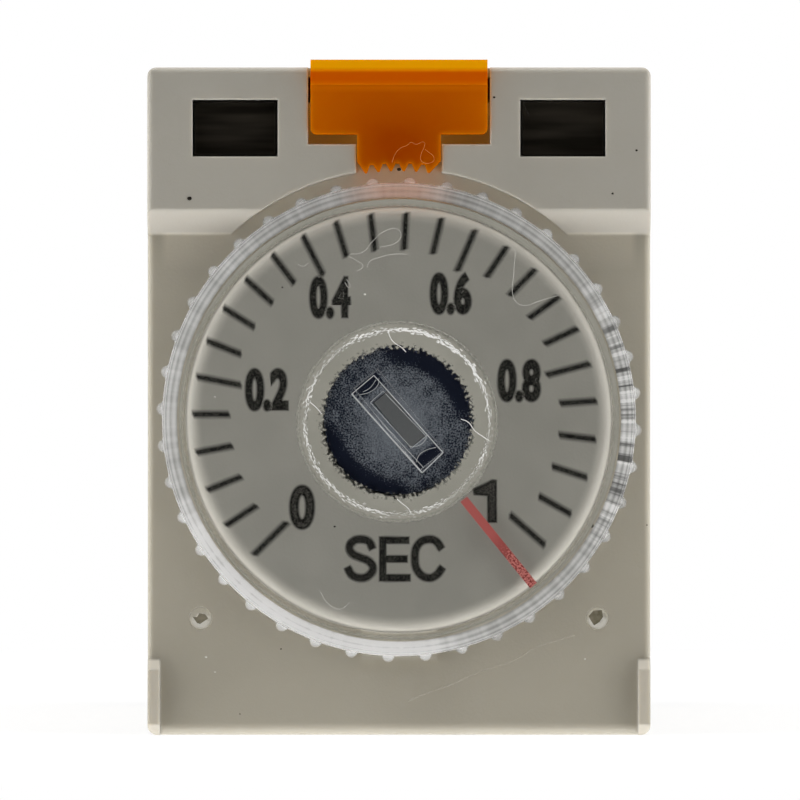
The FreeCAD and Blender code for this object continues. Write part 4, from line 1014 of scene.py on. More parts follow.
# %% [markdown]
# ## Threads and ribbons
# Letters, cracks and lint are long and thin, so they are drawn by their middle line: a curve through
# a few points, which is given a thickness and made a mesh. One function does for a round thread and
# for a flat ribbon, as a pen would leave it.

# %% A function for threads


def threads(paths, flat=0.0):
    """Curves through the points of each path, as one drawing.

    A path is a list of (x, y, z, thickness): a round thread, or with flat a ribbon of that width.
    """
    curve = bpy.data.curves.new("thread", "CURVE")
    curve.dimensions = "3D"
    curve.resolution_u = 5
    curve.bevel_resolution = 1
    curve.bevel_depth = 0.0 if flat else 1.0
    curve.extrude = flat / 2
    curve.use_fill_caps = not flat
    for path in paths:
        spline = curve.splines.new("BEZIER")
        spline.bezier_points.add(len(path) - 1)
        for point, (x, y, z, thickness) in zip(spline.bezier_points, path):
            point.co = (x, y, z)
            point.handle_left_type = point.handle_right_type = "AUTO"
            point.radius = 1.0 if flat else thickness / 2
            point.tilt = math.pi / 2 if flat else 0.0
    mesh = mesh_of(curve)
    drawing = bmesh.new()
    drawing.from_mesh(mesh)
    bpy.data.meshes.remove(mesh)
    bmesh.ops.remove_doubles(drawing, verts=drawing.verts[:], dist=1e-4)
    return drawing


print("threads ready")

# %% [markdown]
# ## The unit under the scale
# The unit is printed in plain letters of one stroke width. The two round letters are ribbons along
# their middle line. The straight one is a stem with three bars, so its outline is worked out from
# their sizes.

# %% Unit letters
UNIT_PLACE = (-0.17, -5.82)
PEN = 0.24
LETTER_S = (
    (-0.94, 0.42), (-1.08, 0.7), (-1.4, 0.81), (-1.77, 0.71), (-1.9, 0.44), (-1.76, 0.2), (-1.44, 0.05),
    (-1.1, -0.1), (-0.92, -0.37), (-1.08, -0.69), (-1.4, -0.8), (-1.8, -0.67), (-1.98, -0.36),
)
LETTER_C = (
    (1.95, 0.42), (1.71, 0.73), (1.41, 0.81), (1.0, 0.63), (0.83, 0.0), (1.0, -0.58), (1.41, -0.8),
    (1.74, -0.67), (1.98, -0.36),
)
E_STEM = (-0.63, -0.39)
E_BARS = ((-0.79, 0.62), (-0.01, 0.5), (0.77, 0.57))

unit = threads([[(x, y, 0, PEN) for x, y in letter] for letter in (LETTER_S, LETTER_C)], flat=PEN)
stem_left, stem_right = E_STEM
outline = [(stem_left, E_BARS[0][0] - PEN / 2)]
for height, right in E_BARS:
    low, high = height - PEN / 2, height + PEN / 2
    outline += [(stem_right, low), (right, low), (right, high), (stem_right, high)]
outline += [(stem_left, E_BARS[-1][0] + PEN / 2)]
unit.faces.new([unit.verts.new((x, y, 0)) for x, y in outline])
bmesh.ops.translate(unit, verts=unit.verts[:], vec=(*UNIT_PLACE, 0))
soften(unit)
thicken(unit)
keep(unit, "scale_unit", black_ink, "housing")

# %% [markdown]
# ## The clear dial
# The dial is one skin: a disc with a rounded front edge, a short skirt with forty grip ridges and a
# hub that grips the potentiometer. A body of revolution gives the skin, spun in steps that divide
# each ridge pitch evenly, so that the ridges are only a matter of pushing some vertices out.

# %% Dial skin
RIDGE_COUNT = 40
STEPS_PER_RIDGE = 24
RIDGE_TURN = 2.6
RIDGE_SETBACK = 0.35
RIDGE_RAMP = 0.2
DIAL_ROOT = 9.9
DIAL_ROUND = 0.25
DIAL_DEPTH = 1.9
DIAL_FACE = 0.9
SKIRT_INSIDE = 9.25
HUB_RADIUS = 4.0
ROTOR_RADIUS = 3.15
AIR = 0.03

hub_end = back_of("time_dial") - DIAL_FRONT
socket_level = SOCKET_FLOOR - DIAL_FRONT + AIR
socket_radius = ROTOR_RADIUS + AIR
front_edge = bow(DIAL_ROUND, (DIAL_ROOT - DIAL_ROUND, -DIAL_ROUND), 0, 90, 6)
outline = [
    (HUB_RADIUS, 0),
    *front_edge,
    (DIAL_ROOT, -RIDGE_SETBACK),
    (DIAL_ROOT, -RIDGE_SETBACK - RIDGE_RAMP / 2),
    (DIAL_ROOT, -RIDGE_SETBACK - RIDGE_RAMP),
    (DIAL_ROOT, -DIAL_DEPTH),
    (SKIRT_INSIDE, -DIAL_DEPTH),
    (SKIRT_INSIDE, -DIAL_FACE),
    (HUB_RADIUS, -DIAL_FACE),
    (HUB_RADIUS, hub_end),
    (socket_radius, hub_end),
    (socket_radius, socket_level),
]
dial = spun(outline, RIDGE_COUNT * STEPS_PER_RIDGE, RIDGE_TURN, closed=False)
print("dial skin:", len(dial.faces), "faces")

# %% [markdown]
# ## Grip ridges
# The ridges are rounded bars along the skirt. They could be pieces of their own, but the real ones are
# one with the skirt, so the vertices of the outer wall are pushed out where a ridge is: by half an
# ellipse across it, and less along a short ramp at its front end.

# %% Ridges
RIDGE_STEPS = 4.1
RIDGE_HEIGHT = 0.26


def push_ridges(drawing, radius):
    """Push the outer wall out at the ridges, which rise in a short ramp behind the front edge."""
    step = 360 / (RIDGE_COUNT * STEPS_PER_RIDGE)
    for corner in drawing.verts:
        behind = -corner.co.z - RIDGE_SETBACK
        if abs(corner.co.xy.length - radius) < 1e-3 and behind > 1e-3:
            clock = math.degrees(math.atan2(corner.co.x, corner.co.y)) - RIDGE_TURN
            place = round(clock / step) % STEPS_PER_RIDGE
            aside = min(place, STEPS_PER_RIDGE - place) / RIDGE_STEPS
            share = math.sqrt(max(0, 1 - aside**2))
            rise = math.sqrt(min(1, behind / RIDGE_RAMP))
            corner.co.xy *= 1 + share * rise * RIDGE_HEIGHT / radius


push_ridges(dial, DIAL_ROOT)
print("ridges:", RIDGE_COUNT)

# %% [markdown]
# ## The slot and the key of the dial
# The screwdriver slot in front and the key that drives the rotor behind are rectangles let into the
# round faces, both turned with the pointer. The outline of each is filled against the ring round it,
# and then drawn down. A small bevel takes the sharpness off the slot.

# %% Slot and key
POINTER_ANGLE = 141.0
ALONG_POINTER = Matrix.Rotation(-math.radians(POINTER_ANGLE), 3, "Z")
SLOT = (1.28, 4.4, 0.8)
KEY = (0.77, 2.43, 1.0)
SLOT_ROUND = 0.09


def let_in(drawing, radius, level, width, length, depth):
    """Close the ring at a level, leaving a rectangle that is drawn down by a depth."""
    signs = ((-1, -1), (1, -1), (1, 1), (-1, 1))
    places = [Vector((i * width / 2, j * length / 2, level)) for i, j in signs]
    corners = [drawing.verts.new(ALONG_POINTER @ place) for place in places]
    frame_edges = [drawing.edges.new(pair) for pair in zip(corners, corners[1:] + corners[:1])]
    ring = [
        edge
        for edge in drawing.edges
        if edge.is_boundary
        and all(abs(v.co.z - level) < 1e-4 and abs(v.co.xy.length - radius) < 1e-3 for v in edge.verts)
    ]
    bmesh.ops.triangle_fill(drawing, edges=ring + frame_edges, use_beauty=True)
    walls = bmesh.ops.extrude_edge_only(drawing, edges=frame_edges)["geom"]
    floor_corners = [v for v in walls if isinstance(v, bmesh.types.BMVert)]
    new_edges = [e for e in walls if isinstance(e, bmesh.types.BMEdge)]
    floor_edges = [e for e in new_edges if all(v in floor_corners for v in e.verts)]
    bmesh.ops.translate(drawing, verts=floor_corners, vec=(0, 0, -depth))
    bmesh.ops.edgeloop_fill(drawing, edges=floor_edges)
    return frame_edges, floor_edges


slot_edges = let_in(dial, HUB_RADIUS, 0, *SLOT)
let_in(dial, socket_radius, socket_level, *KEY)
bmesh.ops.recalc_face_normals(dial, faces=dial.faces[:])
bmesh.ops.bevel(
    dial,
    geom=slot_edges[0] + slot_edges[1],
    offset=SLOT_ROUND,
    segments=2,
    profile=0.5,
    affect="EDGES",
    material=-1,
)
stand(dial, DIAL_FRONT, z=DIAL_Z)
keep(dial, "clear_dial", FINISHES["clear_plastic"], "dial", ["time_dial"], 30)

# %% [markdown]
# ## A milky finish
# Where the mould of the dial was not polished, or where the plastic has crazed, it is milky. One
# function serves all such places. It blends a dark and a bright tone by soft clouds, and it can make
# the finish brighter towards one side, which is painted light, break it into radial bars and let
# some light through.

# %% A function for milky places
BAR_SCALE = 26.0


def spokes(tree, place, scale):
    """Noise that changes round the middle but not along a radius."""
    rim = add(tree, "VectorMath", operation="NORMALIZE")
    join(tree, place, rim.inputs[0])
    bars = add(tree, "TexNoise")
    bars.inputs["Scale"].default_value = scale
    bars.inputs["Detail"].default_value = 3.0
    join(tree, rim.outputs["Vector"], bars.inputs["Vector"])
    return bars.outputs["Fac"]


def frosted(name, dark, bright, lean=None, span=(-1, 1, 0, 1), haze=None, bars=0.0):
    """A milky finish between dark and bright: in clouds, in radial bars, and brighter along a
    direction as painted light.

    Put out with the material: its tree, its shader, the share of the bright tone and the cover, so
    that a finish can go on from there.
    """
    material, tree, surface = new_material(name)
    grain_node = use(tree, grain_tree, **{"Grain scale": 5000.0, "Cloud scale": 260.0})
    light = stretch(tree, grain_node.outputs["Clouds"], *CLOUD_SPAN, 0.3, 0.7)
    place = across_dial(tree, DIAL_ROOT)
    # The lean paints light that falls from one side.
    if lean:
        along = add(tree, "VectorMath", operation="DOT_PRODUCT")
        along.inputs[1].default_value = lean
        join(tree, place, along.inputs[0])
        light = math_node(tree, "MULTIPLY_ADD", light, 0.5)
        join(tree, stretch(tree, along.outputs["Value"], *span), light.node.inputs[2])
        light = math_node(tree, "SUBTRACT", light, 0.25, True)
    if bars:
        light = total(tree, light, sway(tree, spokes(tree, place, BAR_SCALE), bars))
    cover = None
    if haze:
        cover = stretch(tree, light, 0, 1, *haze)
        join(tree, cover, surface.inputs["Alpha"])
    join(tree, blend_colours(tree, light, dark, bright), surface.inputs["Base Color"])
    uneven_gloss(tree, surface, grain_node.outputs["Grain"], 0.5, 0.7)
    pass_light(tree, surface.outputs["BSDF"])
    return material, tree, surface, light, cover


def milky_ring(inner, outer, back, front):
    outline = [(inner, -back), (outer, -back), (outer, -front), (inner, -front)]
    return spun(outline, RIDGE_COUNT * STEPS_PER_RIDGE, RIDGE_TURN)


print("milky finish ready")

# %% [markdown]
# ## The skirt of the dial
# The end of the skirt shows as a pale band behind the ridges. It is a thin milky ring just inside the
# clear plastic, and much of its look is painted light: it is painted brighter towards the table and
# on its left, with painted highlights in lines where its edges bend the light and a painted glint
# near its outer edge on the left, dark and bright bars at its right that are a painted reflection
# of the wall of the case, and a pinkish place below the lever that is painted light thrown by the
# lever. Masks of radius, side and distance give one after the other.

# %% Milky skirt
SKIRT_FROST = (9.26, 9.87, 1.87, 1.84)
# Painted light: the band is brighter towards the table.
SKIRT_LIGHT_SIDE = (-0.45, 0, -0.89)
SKIRT_LIGHT_SPAN = (0.68, 0.82, 0.2, 0.9)
SKIRT_HAZE = (0.7, 0.95)
SKIRT_UNEVEN = 0.2
# Painted highlights in lines where the edges of the band bend the light.
SKIRT_HIGHLIGHTS = ((9.4, 0.12, 0.4), (9.7, 0.16, 0.7))
# A painted glint near the outer edge on the left, and painted light on the left.
SKIRT_GLINT = (9.84, 0.07, 0.9)
LEFT_END = (-0.9 * DIAL_ROOT, -0.95 * DIAL_ROOT)
LEFT_LIGHT = 0.1
RIDGE_THIN = (0.998, 1.004, 1.0, 0.4)
# Dark and bright bars at the right: a painted reflection of the wall of the case.
RIGHT_END = (0.75 * DIAL_ROOT, 0.92 * DIAL_ROOT)
RIGHT_REFLECTION_BARS = 30.0
DARK_REFLECTION_BAR = (0.4, 0.48, 0.9, 0)
BRIGHT_REFLECTION_BAR = (0.52, 0.6, 0, 0.7)
# A pinkish place below the lever: painted light thrown by the lever.
LEVER_LIGHT_SPOT = (0.08, 0.26, 0.6, 0)
TOP_OF_RIM = (0, 0, 1)


def lit_skirt_finish():
    """Milky skirt with painted light: highlights along it, thin on the ridges, tinted below the lever.
    """
    dark, bright = colour(164, 164, 160), colour(252, 251, 249)
    finish = frosted("milky skirt with painted light", dark, bright, SKIRT_LIGHT_SIDE, SKIRT_LIGHT_SPAN, SKIRT_HAZE, SKIRT_UNEVEN)
    material, tree, surface, light, cover = finish
    place = across_dial(tree, DIAL_ROOT)
    reach = distance_from(tree, place)
    across = place_of(tree)[0]
    # Painted highlights along the band.
    for radius, width, strength in SKIRT_HIGHLIGHTS:
        line = line_at(tree, reach, radius / DIAL_ROOT, width / DIAL_ROOT, strength)
        light = total(tree, light, line)
        cover = total(tree, cover, line)
    cover = product(tree, cover, stretch(tree, reach, *RIDGE_THIN))
    # A painted glint and painted light on the left.
    radius, width, strength = SKIRT_GLINT
    left = stretch(tree, across, *LEFT_END)
    line = product(tree, line_at(tree, reach, radius / DIAL_ROOT, width / DIAL_ROOT, strength), left)
    light = total(tree, light, product(tree, left, LEFT_LIGHT), line)
    cover = total(tree, cover, line)
    # A painted reflection of the wall of the case at the right.
    right = stretch(tree, across, *RIGHT_END)
    bars = spokes(tree, place, RIGHT_REFLECTION_BARS)
    light = total(tree, light, product(tree, right, stretch(tree, bars, *BRIGHT_REFLECTION_BAR)))
    dark_reflection = product(tree, right, stretch(tree, bars, *DARK_REFLECTION_BAR))
    tone = blend_colours(tree, dark_reflection, blend_colours(tree, light, dark, bright), colour(70, 70, 68))
    # Painted light from the lever.
    spot = add(tree, "VectorMath", operation="DISTANCE")
    spot.inputs[1].default_value = TOP_OF_RIM
    join(tree, place, spot.inputs[0])
    lever_light = stretch(tree, spot.outputs["Value"], *LEVER_LIGHT_SPOT)
    tone = blend_colours(tree, lever_light, tone, colour(230, 186, 164))
    join(tree, tone, surface.inputs["Base Color"])
    join(tree, cover, surface.inputs["Alpha"])
    return material


band = milky_ring(*SKIRT_FROST)
push_ridges(band, SKIRT_FROST[1])
stand(band, DIAL_FRONT, z=DIAL_Z)
keep(band, "skirt_frost", lit_skirt_finish(), "dial")

# %% [markdown]
# ## Milky rings
# Two more places of the dial are milky rings. The wall of its hub is milky, with a halo in the disc
# round it that is a painted reflection of the hub wall, and a ring by the inner wall of the skirt is
# painted pale over the gap between plate and skirt, to lift the shade there. They are rings as well,
# but of an even grey that fades in and out over the radius, so one finish with other radii does for
# all. The hub sits a little off the middle.

# %% Hub and inner wall
HUB_SHIFT = (-0.07, -0.1)
MILKY_RINGS = (
    ("hub_frost", (2.85, 3.95, 1.18, 1.15), (3.1, 3.26), (4.05, 4.1), 0.16),
    # The halo is a painted reflection of the hub wall.
    ("hub_halo_reflection", (3.75, 4.4, 0.87, 0.84), (3.78, 3.86), (4.04, 4.24), 0.04),
    # This ring is painted light over the gap between plate and skirt, to lift the shade there.
    ("gap_light_ring", (8.9, 9.2, 0.87, 0.84), (8.9, 9.15, 0.15, 0.8), (9.4, 9.5), 0.02),
)


def ring_finish(name, inner, outer, rough_edge):
    """A milky ring whose cover fades in and out at two radii, with an edge broken by noise."""
    material, tree, surface = frosted(name, colour(140, 138, 127), colour(162, 160, 149))[:3]
    reach = distance_from(tree, across_dial(tree, 1, HUB_SHIFT))
    grain_node = use(tree, grain_tree, **{"Grain scale": 7000.0})
    broken = sway(tree, grain_node.outputs["Grain"], rough_edge)
    reach = math_node(tree, "ADD", reach, broken)
    cover = product(tree, stretch(tree, reach, *inner), stretch(tree, reach, *outer, 1, 0))
    join(tree, cover, surface.inputs["Alpha"])
    return material


for name, size, inner, outer, rough_edge in MILKY_RINGS:
    ring = milky_ring(*size)
    stand(ring, DIAL_FRONT, z=DIAL_Z)
    finish = ring_finish(name.replace("_", " "), inner, outer, rough_edge)
    keep(ring, name, finish, "dial")

# %% [markdown]
# ## The crazed line
# The press fit of the hub has crazed the clear plastic: a ragged white line runs round its root. Seen
# close, it is made of hundreds of short strokes, so it is drawn that way: noise gives each stroke its
# length, lean and thickness, and two waves round the circle make it stronger on some sides.

# %% Crazed line
CRAZE_RADIUS = 3.86
CRAZE_STROKES = 900
CRAZE_DEPTH = 0.75
CRAZE_WIDTH = 0.065
CRAZE_SPREAD = 0.28
CRAZE_WAVES = ((0.2, 2, 76), (0.15, 1, 20))
CRAZE_LEAST = 0.2
STROKE_REACH = 0.05
STROKE_LEAN = 0.05
STROKE_LEAST = 0.012


def ragged(k, scale, seed):
    return noise.noise((k * scale, seed, 0.0))


def craze_stroke(k):
    """A short white stroke that leans off the circle, longer and thicker where the craze is strong."""
    angle = 360 * (k + 0.5 * ragged(k, 3.7, 0.4)) / CRAZE_STROKES
    waves = [share * math.cos(math.radians(turns * angle - lag)) for share, turns, lag in CRAZE_WAVES]
    strength = max(CRAZE_LEAST, sum(waves, 0.5) + 0.5 * ragged(k, 0.03, 7.7))
    radius = CRAZE_RADIUS + CRAZE_SPREAD * ragged(k, 1.9, 3.1)
    reach = STROKE_REACH * (0.5 + strength) / CRAZE_RADIUS
    lean = STROKE_LEAN * ragged(k, 2.3, 9.9)
    thickness = max(STROKE_LEAST, CRAZE_WIDTH * strength * (0.8 + 0.9 * ragged(k, 1.3, 5.5)))
    hub = Vector((*HUB_SHIFT, -CRAZE_DEPTH))
    start = hub + heading(radius - lean, angle - math.degrees(reach))
    end = hub + heading(radius + lean, angle + math.degrees(reach))
    return [(*start, 0.6 * thickness), (*end, thickness)]


crack_tones = colour(214, 212, 206), colour(250, 249, 247)
white_crack = frosted("crazed plastic", *crack_tones, (0.3, 0, 0.6), haze=(0.6, 0.9))[0]
craze = threads([craze_stroke(k) for k in range(CRAZE_STROKES)])
stand(craze, DIAL_FRONT, z=DIAL_Z)
keep(craze, "hub_craze", white_crack, "dial")

# %% [markdown]
# ## Cracks
# A few cracks cross the ring round the hub. They are threads through picture points: a point of the
# photograph, counted in columns and rows, is turned into millimetres on the front by the size of one
# such point and by where the camera looks.

# %% Cracks
CRACKS = (
    ((388, 331), (391, 339), (396, 344), (401, 347), (406, 352)),
    ((310, 402), (316, 407), (322, 414)),
    ((489, 441), (482, 436), (475, 431), (468, 422), (461, 419)),
    ((397, 499), (403, 504), (408, 508), (411, 513)),
)
CRACK_WIDTH = 0.045
PIXEL = 0.04198
VIEW_X = 0.042
VIEW_Z = 0.063
FRAME_MIDDLE = 400


def seen_at(column, row):
    """Where a picture point lies on the front, in millimetres across and up."""
    return (column - FRAME_MIDDLE) * PIXEL + VIEW_X, (FRAME_MIDDLE - row) * PIXEL + VIEW_Z


def on_dial(column, row, depth, thickness):
    x, z = seen_at(column, row)
    return x, z - DIAL_Z, -depth, thickness


def crack(path):
    widths = [CRACK_WIDTH * (0.7 + 0.5 * ragged(k, 1.7, 5.0)) for k in range(len(path))]
    return [on_dial(*point, CRAZE_DEPTH, width) for point, width in zip(path, widths)]


cracks = threads([crack(path) for path in CRACKS])
stand(cracks, DIAL_FRONT, z=DIAL_Z)
keep(cracks, "hub_cracks", white_crack, "dial")

# %% [markdown]
# ## Edges of the slot
# Thin bright lines along the edges of the screwdriver slot are painted highlights, and its ends show
# the arcs of the cutter as painted bright lines too. Each is a thread through a few picture points
# along the edge.

# %% Bright lines of the slot
SLOT_MOUTH = ((374, 375.5), (352, 394), (422, 472.5), (443, 452.5))
SLOT_FLOOR = ((383, 391), (370.5, 402.5), (411.5, 448), (426, 436))
MOUTH_WIDTHS = (0.035, 0.06, 0.045, 0.04)
FLOOR_WIDTH = 0.022
SLOT_ARCS = (
    ((359, 395), (370, 392), (378, 385), (379, 378)),
    ((363, 392), (370, 388), (376, 380)),
    ((356, 393), (390, 431), (424, 468)),
    ((409, 446), (417, 446), (425, 440), (427, 434)),
    ((416, 462), (419, 455), (426, 450), (436, 447)),
)
MOUTH_DEPTH = 0.06
FLOOR_DEPTH = SLOT[2] - 0.04
lines = []
for k, width in enumerate(MOUTH_WIDTHS):
    corners = SLOT_MOUTH[k], SLOT_MOUTH[(k + 1) % len(SLOT_MOUTH)]
    lines.append([on_dial(*corner, MOUTH_DEPTH, width) for corner in corners])
    corners = SLOT_FLOOR[k], SLOT_FLOOR[(k + 1) % len(SLOT_FLOOR)]
    lines.append([on_dial(*corner, FLOOR_DEPTH, FLOOR_WIDTH) for corner in corners])
lines.extend([on_dial(*point, FLOOR_DEPTH, FLOOR_WIDTH) for point in arc] for arc in SLOT_ARCS)
glints = threads(lines)
stand(glints, DIAL_FRONT, z=DIAL_Z)
# Painted highlights: pale, half-clear threads along the edges of the slot.
glint_tones = colour(150, 153, 153), colour(186, 188, 187)
glint = frosted("slot glint", *glint_tones, (-0.4, 0, -0.4), haze=(0.55, 0.75))[0]
keep(glints, "slot_glints", glint, "dial")

# %% [markdown]
# ## The driving key
# Below the slot the dial has a key that drives the rotor. Its end shows as an even grey rectangle in
# the middle of the slot, partly its own milky end and partly painted light that lifts the shade deep
# in the slot, brighter towards its lower end. A thin block inside the clear plastic stands for it.

# %% Milky key
KEY_FROST = 0.03
key = bmesh.new()
corners = block(key, (*KEY[:2], KEY_FROST), (0, 0, socket_level + KEY_FROST))
bmesh.ops.rotate(key, verts=corners, matrix=ALONG_POINTER)
stand(key, DIAL_FRONT, z=DIAL_Z)
# Painted light: a grey lighter than the shade deep in the slot, brighter towards its lower end.
lit_key_tones = colour(64, 66, 67), colour(88, 90, 90)
lit_milky_key = frosted("milky key with painted light", *lit_key_tones, (-2.0, 0, -2.0), haze=(0.88, 0.96))[0]
keep(key, "lit_key_frost", lit_milky_key, "dial")

# %% [markdown]
# ## The pointer
# A groove under the disc is filled with red paint. Near the hub the paint is whole, and towards the
# rim it has flaked, so its material gets more gaps with the distance from the middle.

# %% Red pointer
POINTER = (4.3, 8.92)
POINTER_WIDTH = 0.36
POINTER_DEPTH = (DIAL_FACE - 0.03, DIAL_FACE - 0.1)
FLAKED = (6.2, 7.4, 0.0, 0.3)
FLAKES = (0.74, 0.82)


def flaking_paint():
    material, tree, surface = new_material("red paint")
    worn = stretch(tree, distance_from(tree, across_dial(tree, 1)), *FLAKED)
    grain_node = use(tree, grain_tree, **{"Grain scale": 13000.0, "Cloud scale": 900.0})
    flakes = stretch(tree, math_node(tree, "ADD", grain_node.outputs["Grain"], worn), *FLAKES)
    faded = stretch(tree, worn, *FLAKED[2:])
    whole = blend_colours(tree, faded, colour(164, 80, 75), colour(116, 30, 27))
    join(tree, blend_colours(tree, flakes, whole, colour(190, 112, 104)), surface.inputs["Base Color"])
    uneven_gloss(tree, surface, grain_node.outputs["Clouds"], 0.45, 0.6)
    return material


pointer = bmesh.new()
groove = (POINTER_WIDTH, POINTER[1] - POINTER[0], POINTER_DEPTH[0] - POINTER_DEPTH[1])
corners = block(pointer, groove, (0, sum(POINTER) / 2, -sum(POINTER_DEPTH) / 2))
bmesh.ops.rotate(pointer, verts=corners, matrix=ALONG_POINTER)
stand(pointer, DIAL_FRONT, z=DIAL_Z)
keep(pointer, "pointer_paint", flaking_paint(), "dial")

# %% [markdown]
# ## The rotor under the hub
# Through the hub one sees the blue-black rotor of the potentiometer. Plastic and rotor touch only in
# places, so it is dark where they touch and grey with tiny gaps elsewhere: grey in the middle, dark
# in a crescent on each side of the slot. The material turns its pattern along the slot, and measures
# how far a point is from the middle and to the side of the slot, in radii of the rotor.

# %% Speckled rotor
ROTOR_GREY = (0.25, 0.9, 0.9, 0.22)
ROTOR_CLOUDS = 0.3
BAND_RAGGED = 0.15
BAND_ANGLE = 220.0
BAND_START = (0.72, 0.82)
BAND_END = (0.92, 1, 1, 0.5)
BAND_SIDES = (0.52, 0.76, 0, 0.85)
CALM_MIDDLE = (0.2, 0.6, 0.25, 1.0)
SLOT_ENDS = ((0.5, 0.56), (0.7, 0.72, 1, 0))
ROTOR_DARK = colour(14, 19, 32)


def rotor_plastic():
    material, tree, surface = new_material("rotor plastic")
    place = across_dial(tree, ROTOR_RADIUS, HUB_SHIFT)
    reach = distance_from(tree, place)
    turned = add(tree, "VectorRotate", rotation_type="Y_AXIS")
    turned.inputs["Angle"].default_value = -math.radians(POINTER_ANGLE)
    join(tree, place, turned.inputs["Vector"])
    sides = add(tree, "SeparateXYZ")
    join(tree, turned.outputs["Vector"], sides.inputs["Vector"])
    across = math_node(tree, "ABSOLUTE", sides.outputs["X"])
    along = math_node(tree, "ABSOLUTE", sides.outputs["Z"])
    grain_node = use(tree, grain_tree, **{"Grain scale": 14000.0, "Cloud scale": 2600.0})
    speckle = stretch(tree, grain_node.outputs["Grain"], 0.36, 0.64, -0.5, 0.5)
    clouds = sway(tree, grain_node.outputs["Clouds"], ROTOR_CLOUDS)
    ragged_reach = math_node(tree, "ADD", reach, product(tree, clouds, BAND_RAGGED))
    aside = add(tree, "VectorMath", operation="DOT_PRODUCT")
    aside.inputs[1].default_value = heading(1, BAND_ANGLE).xzy
    join(tree, place, aside.inputs[0])
    beside = math_node(tree, "ABSOLUTE", aside.outputs["Value"])
    band = product(
        tree,
        stretch(tree, ragged_reach, *BAND_START),
        stretch(tree, reach, *BAND_END),
        stretch(tree, beside, *BAND_SIDES),
    )
    grey = math_node(tree, "SUBTRACT", stretch(tree, reach, *ROTOR_GREY), band)
    uneven = math_node(tree, "ADD", speckle, clouds)
    grey = total(tree, grey, product(tree, uneven, stretch(tree, reach, *CALM_MIDDLE)))
    body_colour = blend_colours(tree, grey, ROTOR_DARK, colour(106, 111, 117))
    in_slot = math_node(tree, "LESS_THAN", across, SLOT[0] / 2 / ROTOR_RADIUS)
    ends = product(tree, in_slot, *(stretch(tree, along, *limits) for limits in SLOT_ENDS))
    body_colour = blend_colours(tree, ends, body_colour, ROTOR_DARK)
    join(tree, body_colour, surface.inputs["Base Color"])
    join(tree, stretch(tree, speckle, -0.6, 0.6, 0.4, 0.6), surface.inputs["Roughness"])
    surface.inputs["Specular IOR Level"].default_value = 0.1
    return material


NODES["pot_rotor"].data.materials[0] = rotor_plastic()
print("rotor finished")

# %% [markdown]
# ## Gate marks
# Two small hollows low on the panel are where the melt entered the mould. The broken stub leaves a
# dark core, and round it a torn lip that closes part of the hollow. The lip has the tone of the panel
# and is pale only round its lower half. At its edge it fades out, so that no outline shows.

# %% Finish of the torn lip
GATE_X = 8.33
GATE_Z = -9.1
BURR_EDGE = (0.42, 0.49, 1, 0)
BURR_RING = (0.36, 0.46, 1, 0)
BURR_LOW = (-0.15, 0.2, 1, 0)
BURR_RAGGED = 0.2


def gate_reach(tree):
    """How far a point is from the middle of its gate mark, and its height above it."""
    across, _, height = place_of(tree)
    aside = math_node(tree, "SUBTRACT", math_node(tree, "ABSOLUTE", across), GATE_X)
    above = math_node(tree, "SUBTRACT", height, GATE_Z)
    both = add(tree, "CombineXYZ")
    join(tree, aside, both.inputs["X"])
    join(tree, above, both.inputs["Z"])
    return distance_from(tree, both.outputs["Vector"]), above


def burr_tones(tree):
    """The tone of the panel, with a pale lip round the lower half of the hollow."""
    reach, above = gate_reach(tree)
    grain_node = use(tree, grain_tree, **{"Grain scale": 5000.0})
    ragged_edge = sway(tree, grain_node.outputs["Grain"], BURR_RAGGED)
    low = stretch(tree, math_node(tree, "ADD", above, ragged_edge), *BURR_LOW)
    lip = product(tree, low, stretch(tree, reach, *BURR_RING))
    return blend_colours(tree, lip, LIT_PANEL_TONE, colour(214, 209, 196))


def burr_finish():
    """The burr fades into the panel at its edge."""
    material = plastic("burr plastic", LIT_PANEL_TONE, PALE_CASE, 0.48, glow=0.6, local=burr_tones)
    tree = material.node_tree
    surface = tree.nodes["Principled BSDF"]
    join(tree, stretch(tree, gate_reach(tree)[0], *BURR_EDGE), surface.inputs["Alpha"])
    pass_light(tree, surface.outputs["BSDF"])
    return material


print("finish of the torn lip ready")

# %% [markdown]
# ## Cores and burrs
# Each core is a small round plate in its hollow. The burr is a thin washer whose hole is the ragged
# outline of the core, given in picture points. It is filled between its two outlines.

# %% Cores and burrs
GATE_RADIUS = 0.42
GATE_LIP = 0.5
GATE_STEPS = 24
GATE_PLAY = 0.01
CORE_LEFT = (
    (192.5, 616.5), (197, 617), (199.5, 613), (205, 614),
    (208.5, 618.5), (204.5, 621), (200, 624), (197, 623),
)
CORE_RIGHT = (
    (588.5, 616), (593.5, 610.5), (602, 610), (603, 617), (599.5, 622), (594, 625.5), (591, 621),
)
CORE_DEPTH = 0.07
BURR_THICKNESS = 0.06
gate_brown = broken_ink("gate core", colour(108, 103, 84), colour(140, 132, 114), 0.4, 0.7, 4000.0)
cores = bmesh.new()
burrs = bmesh.new()
for side, outline in ((-1, CORE_LEFT), (1, CORE_RIGHT)):
    place = Matrix.Translation((side * GATE_X, GATE_Z, 0))
    sizes = {"radius": GATE_RADIUS - GATE_PLAY, "segments": GATE_STEPS, "matrix": place}
    bmesh.ops.create_circle(cores, cap_ends=True, **sizes)
    rim = bmesh.ops.create_circle(burrs, radius=GATE_LIP, segments=GATE_STEPS, matrix=place)["verts"]
    edges = list(dict.fromkeys(edge for corner in rim for edge in corner.link_edges))
    corners = [burrs.verts.new((*seen_at(*point), 0)) for point in outline]
    edges.extend(burrs.edges.new(pair) for pair in zip(corners, corners[1:] + corners[:1]))
    bmesh.ops.triangle_fill(burrs, edges=edges, use_beauty=True)
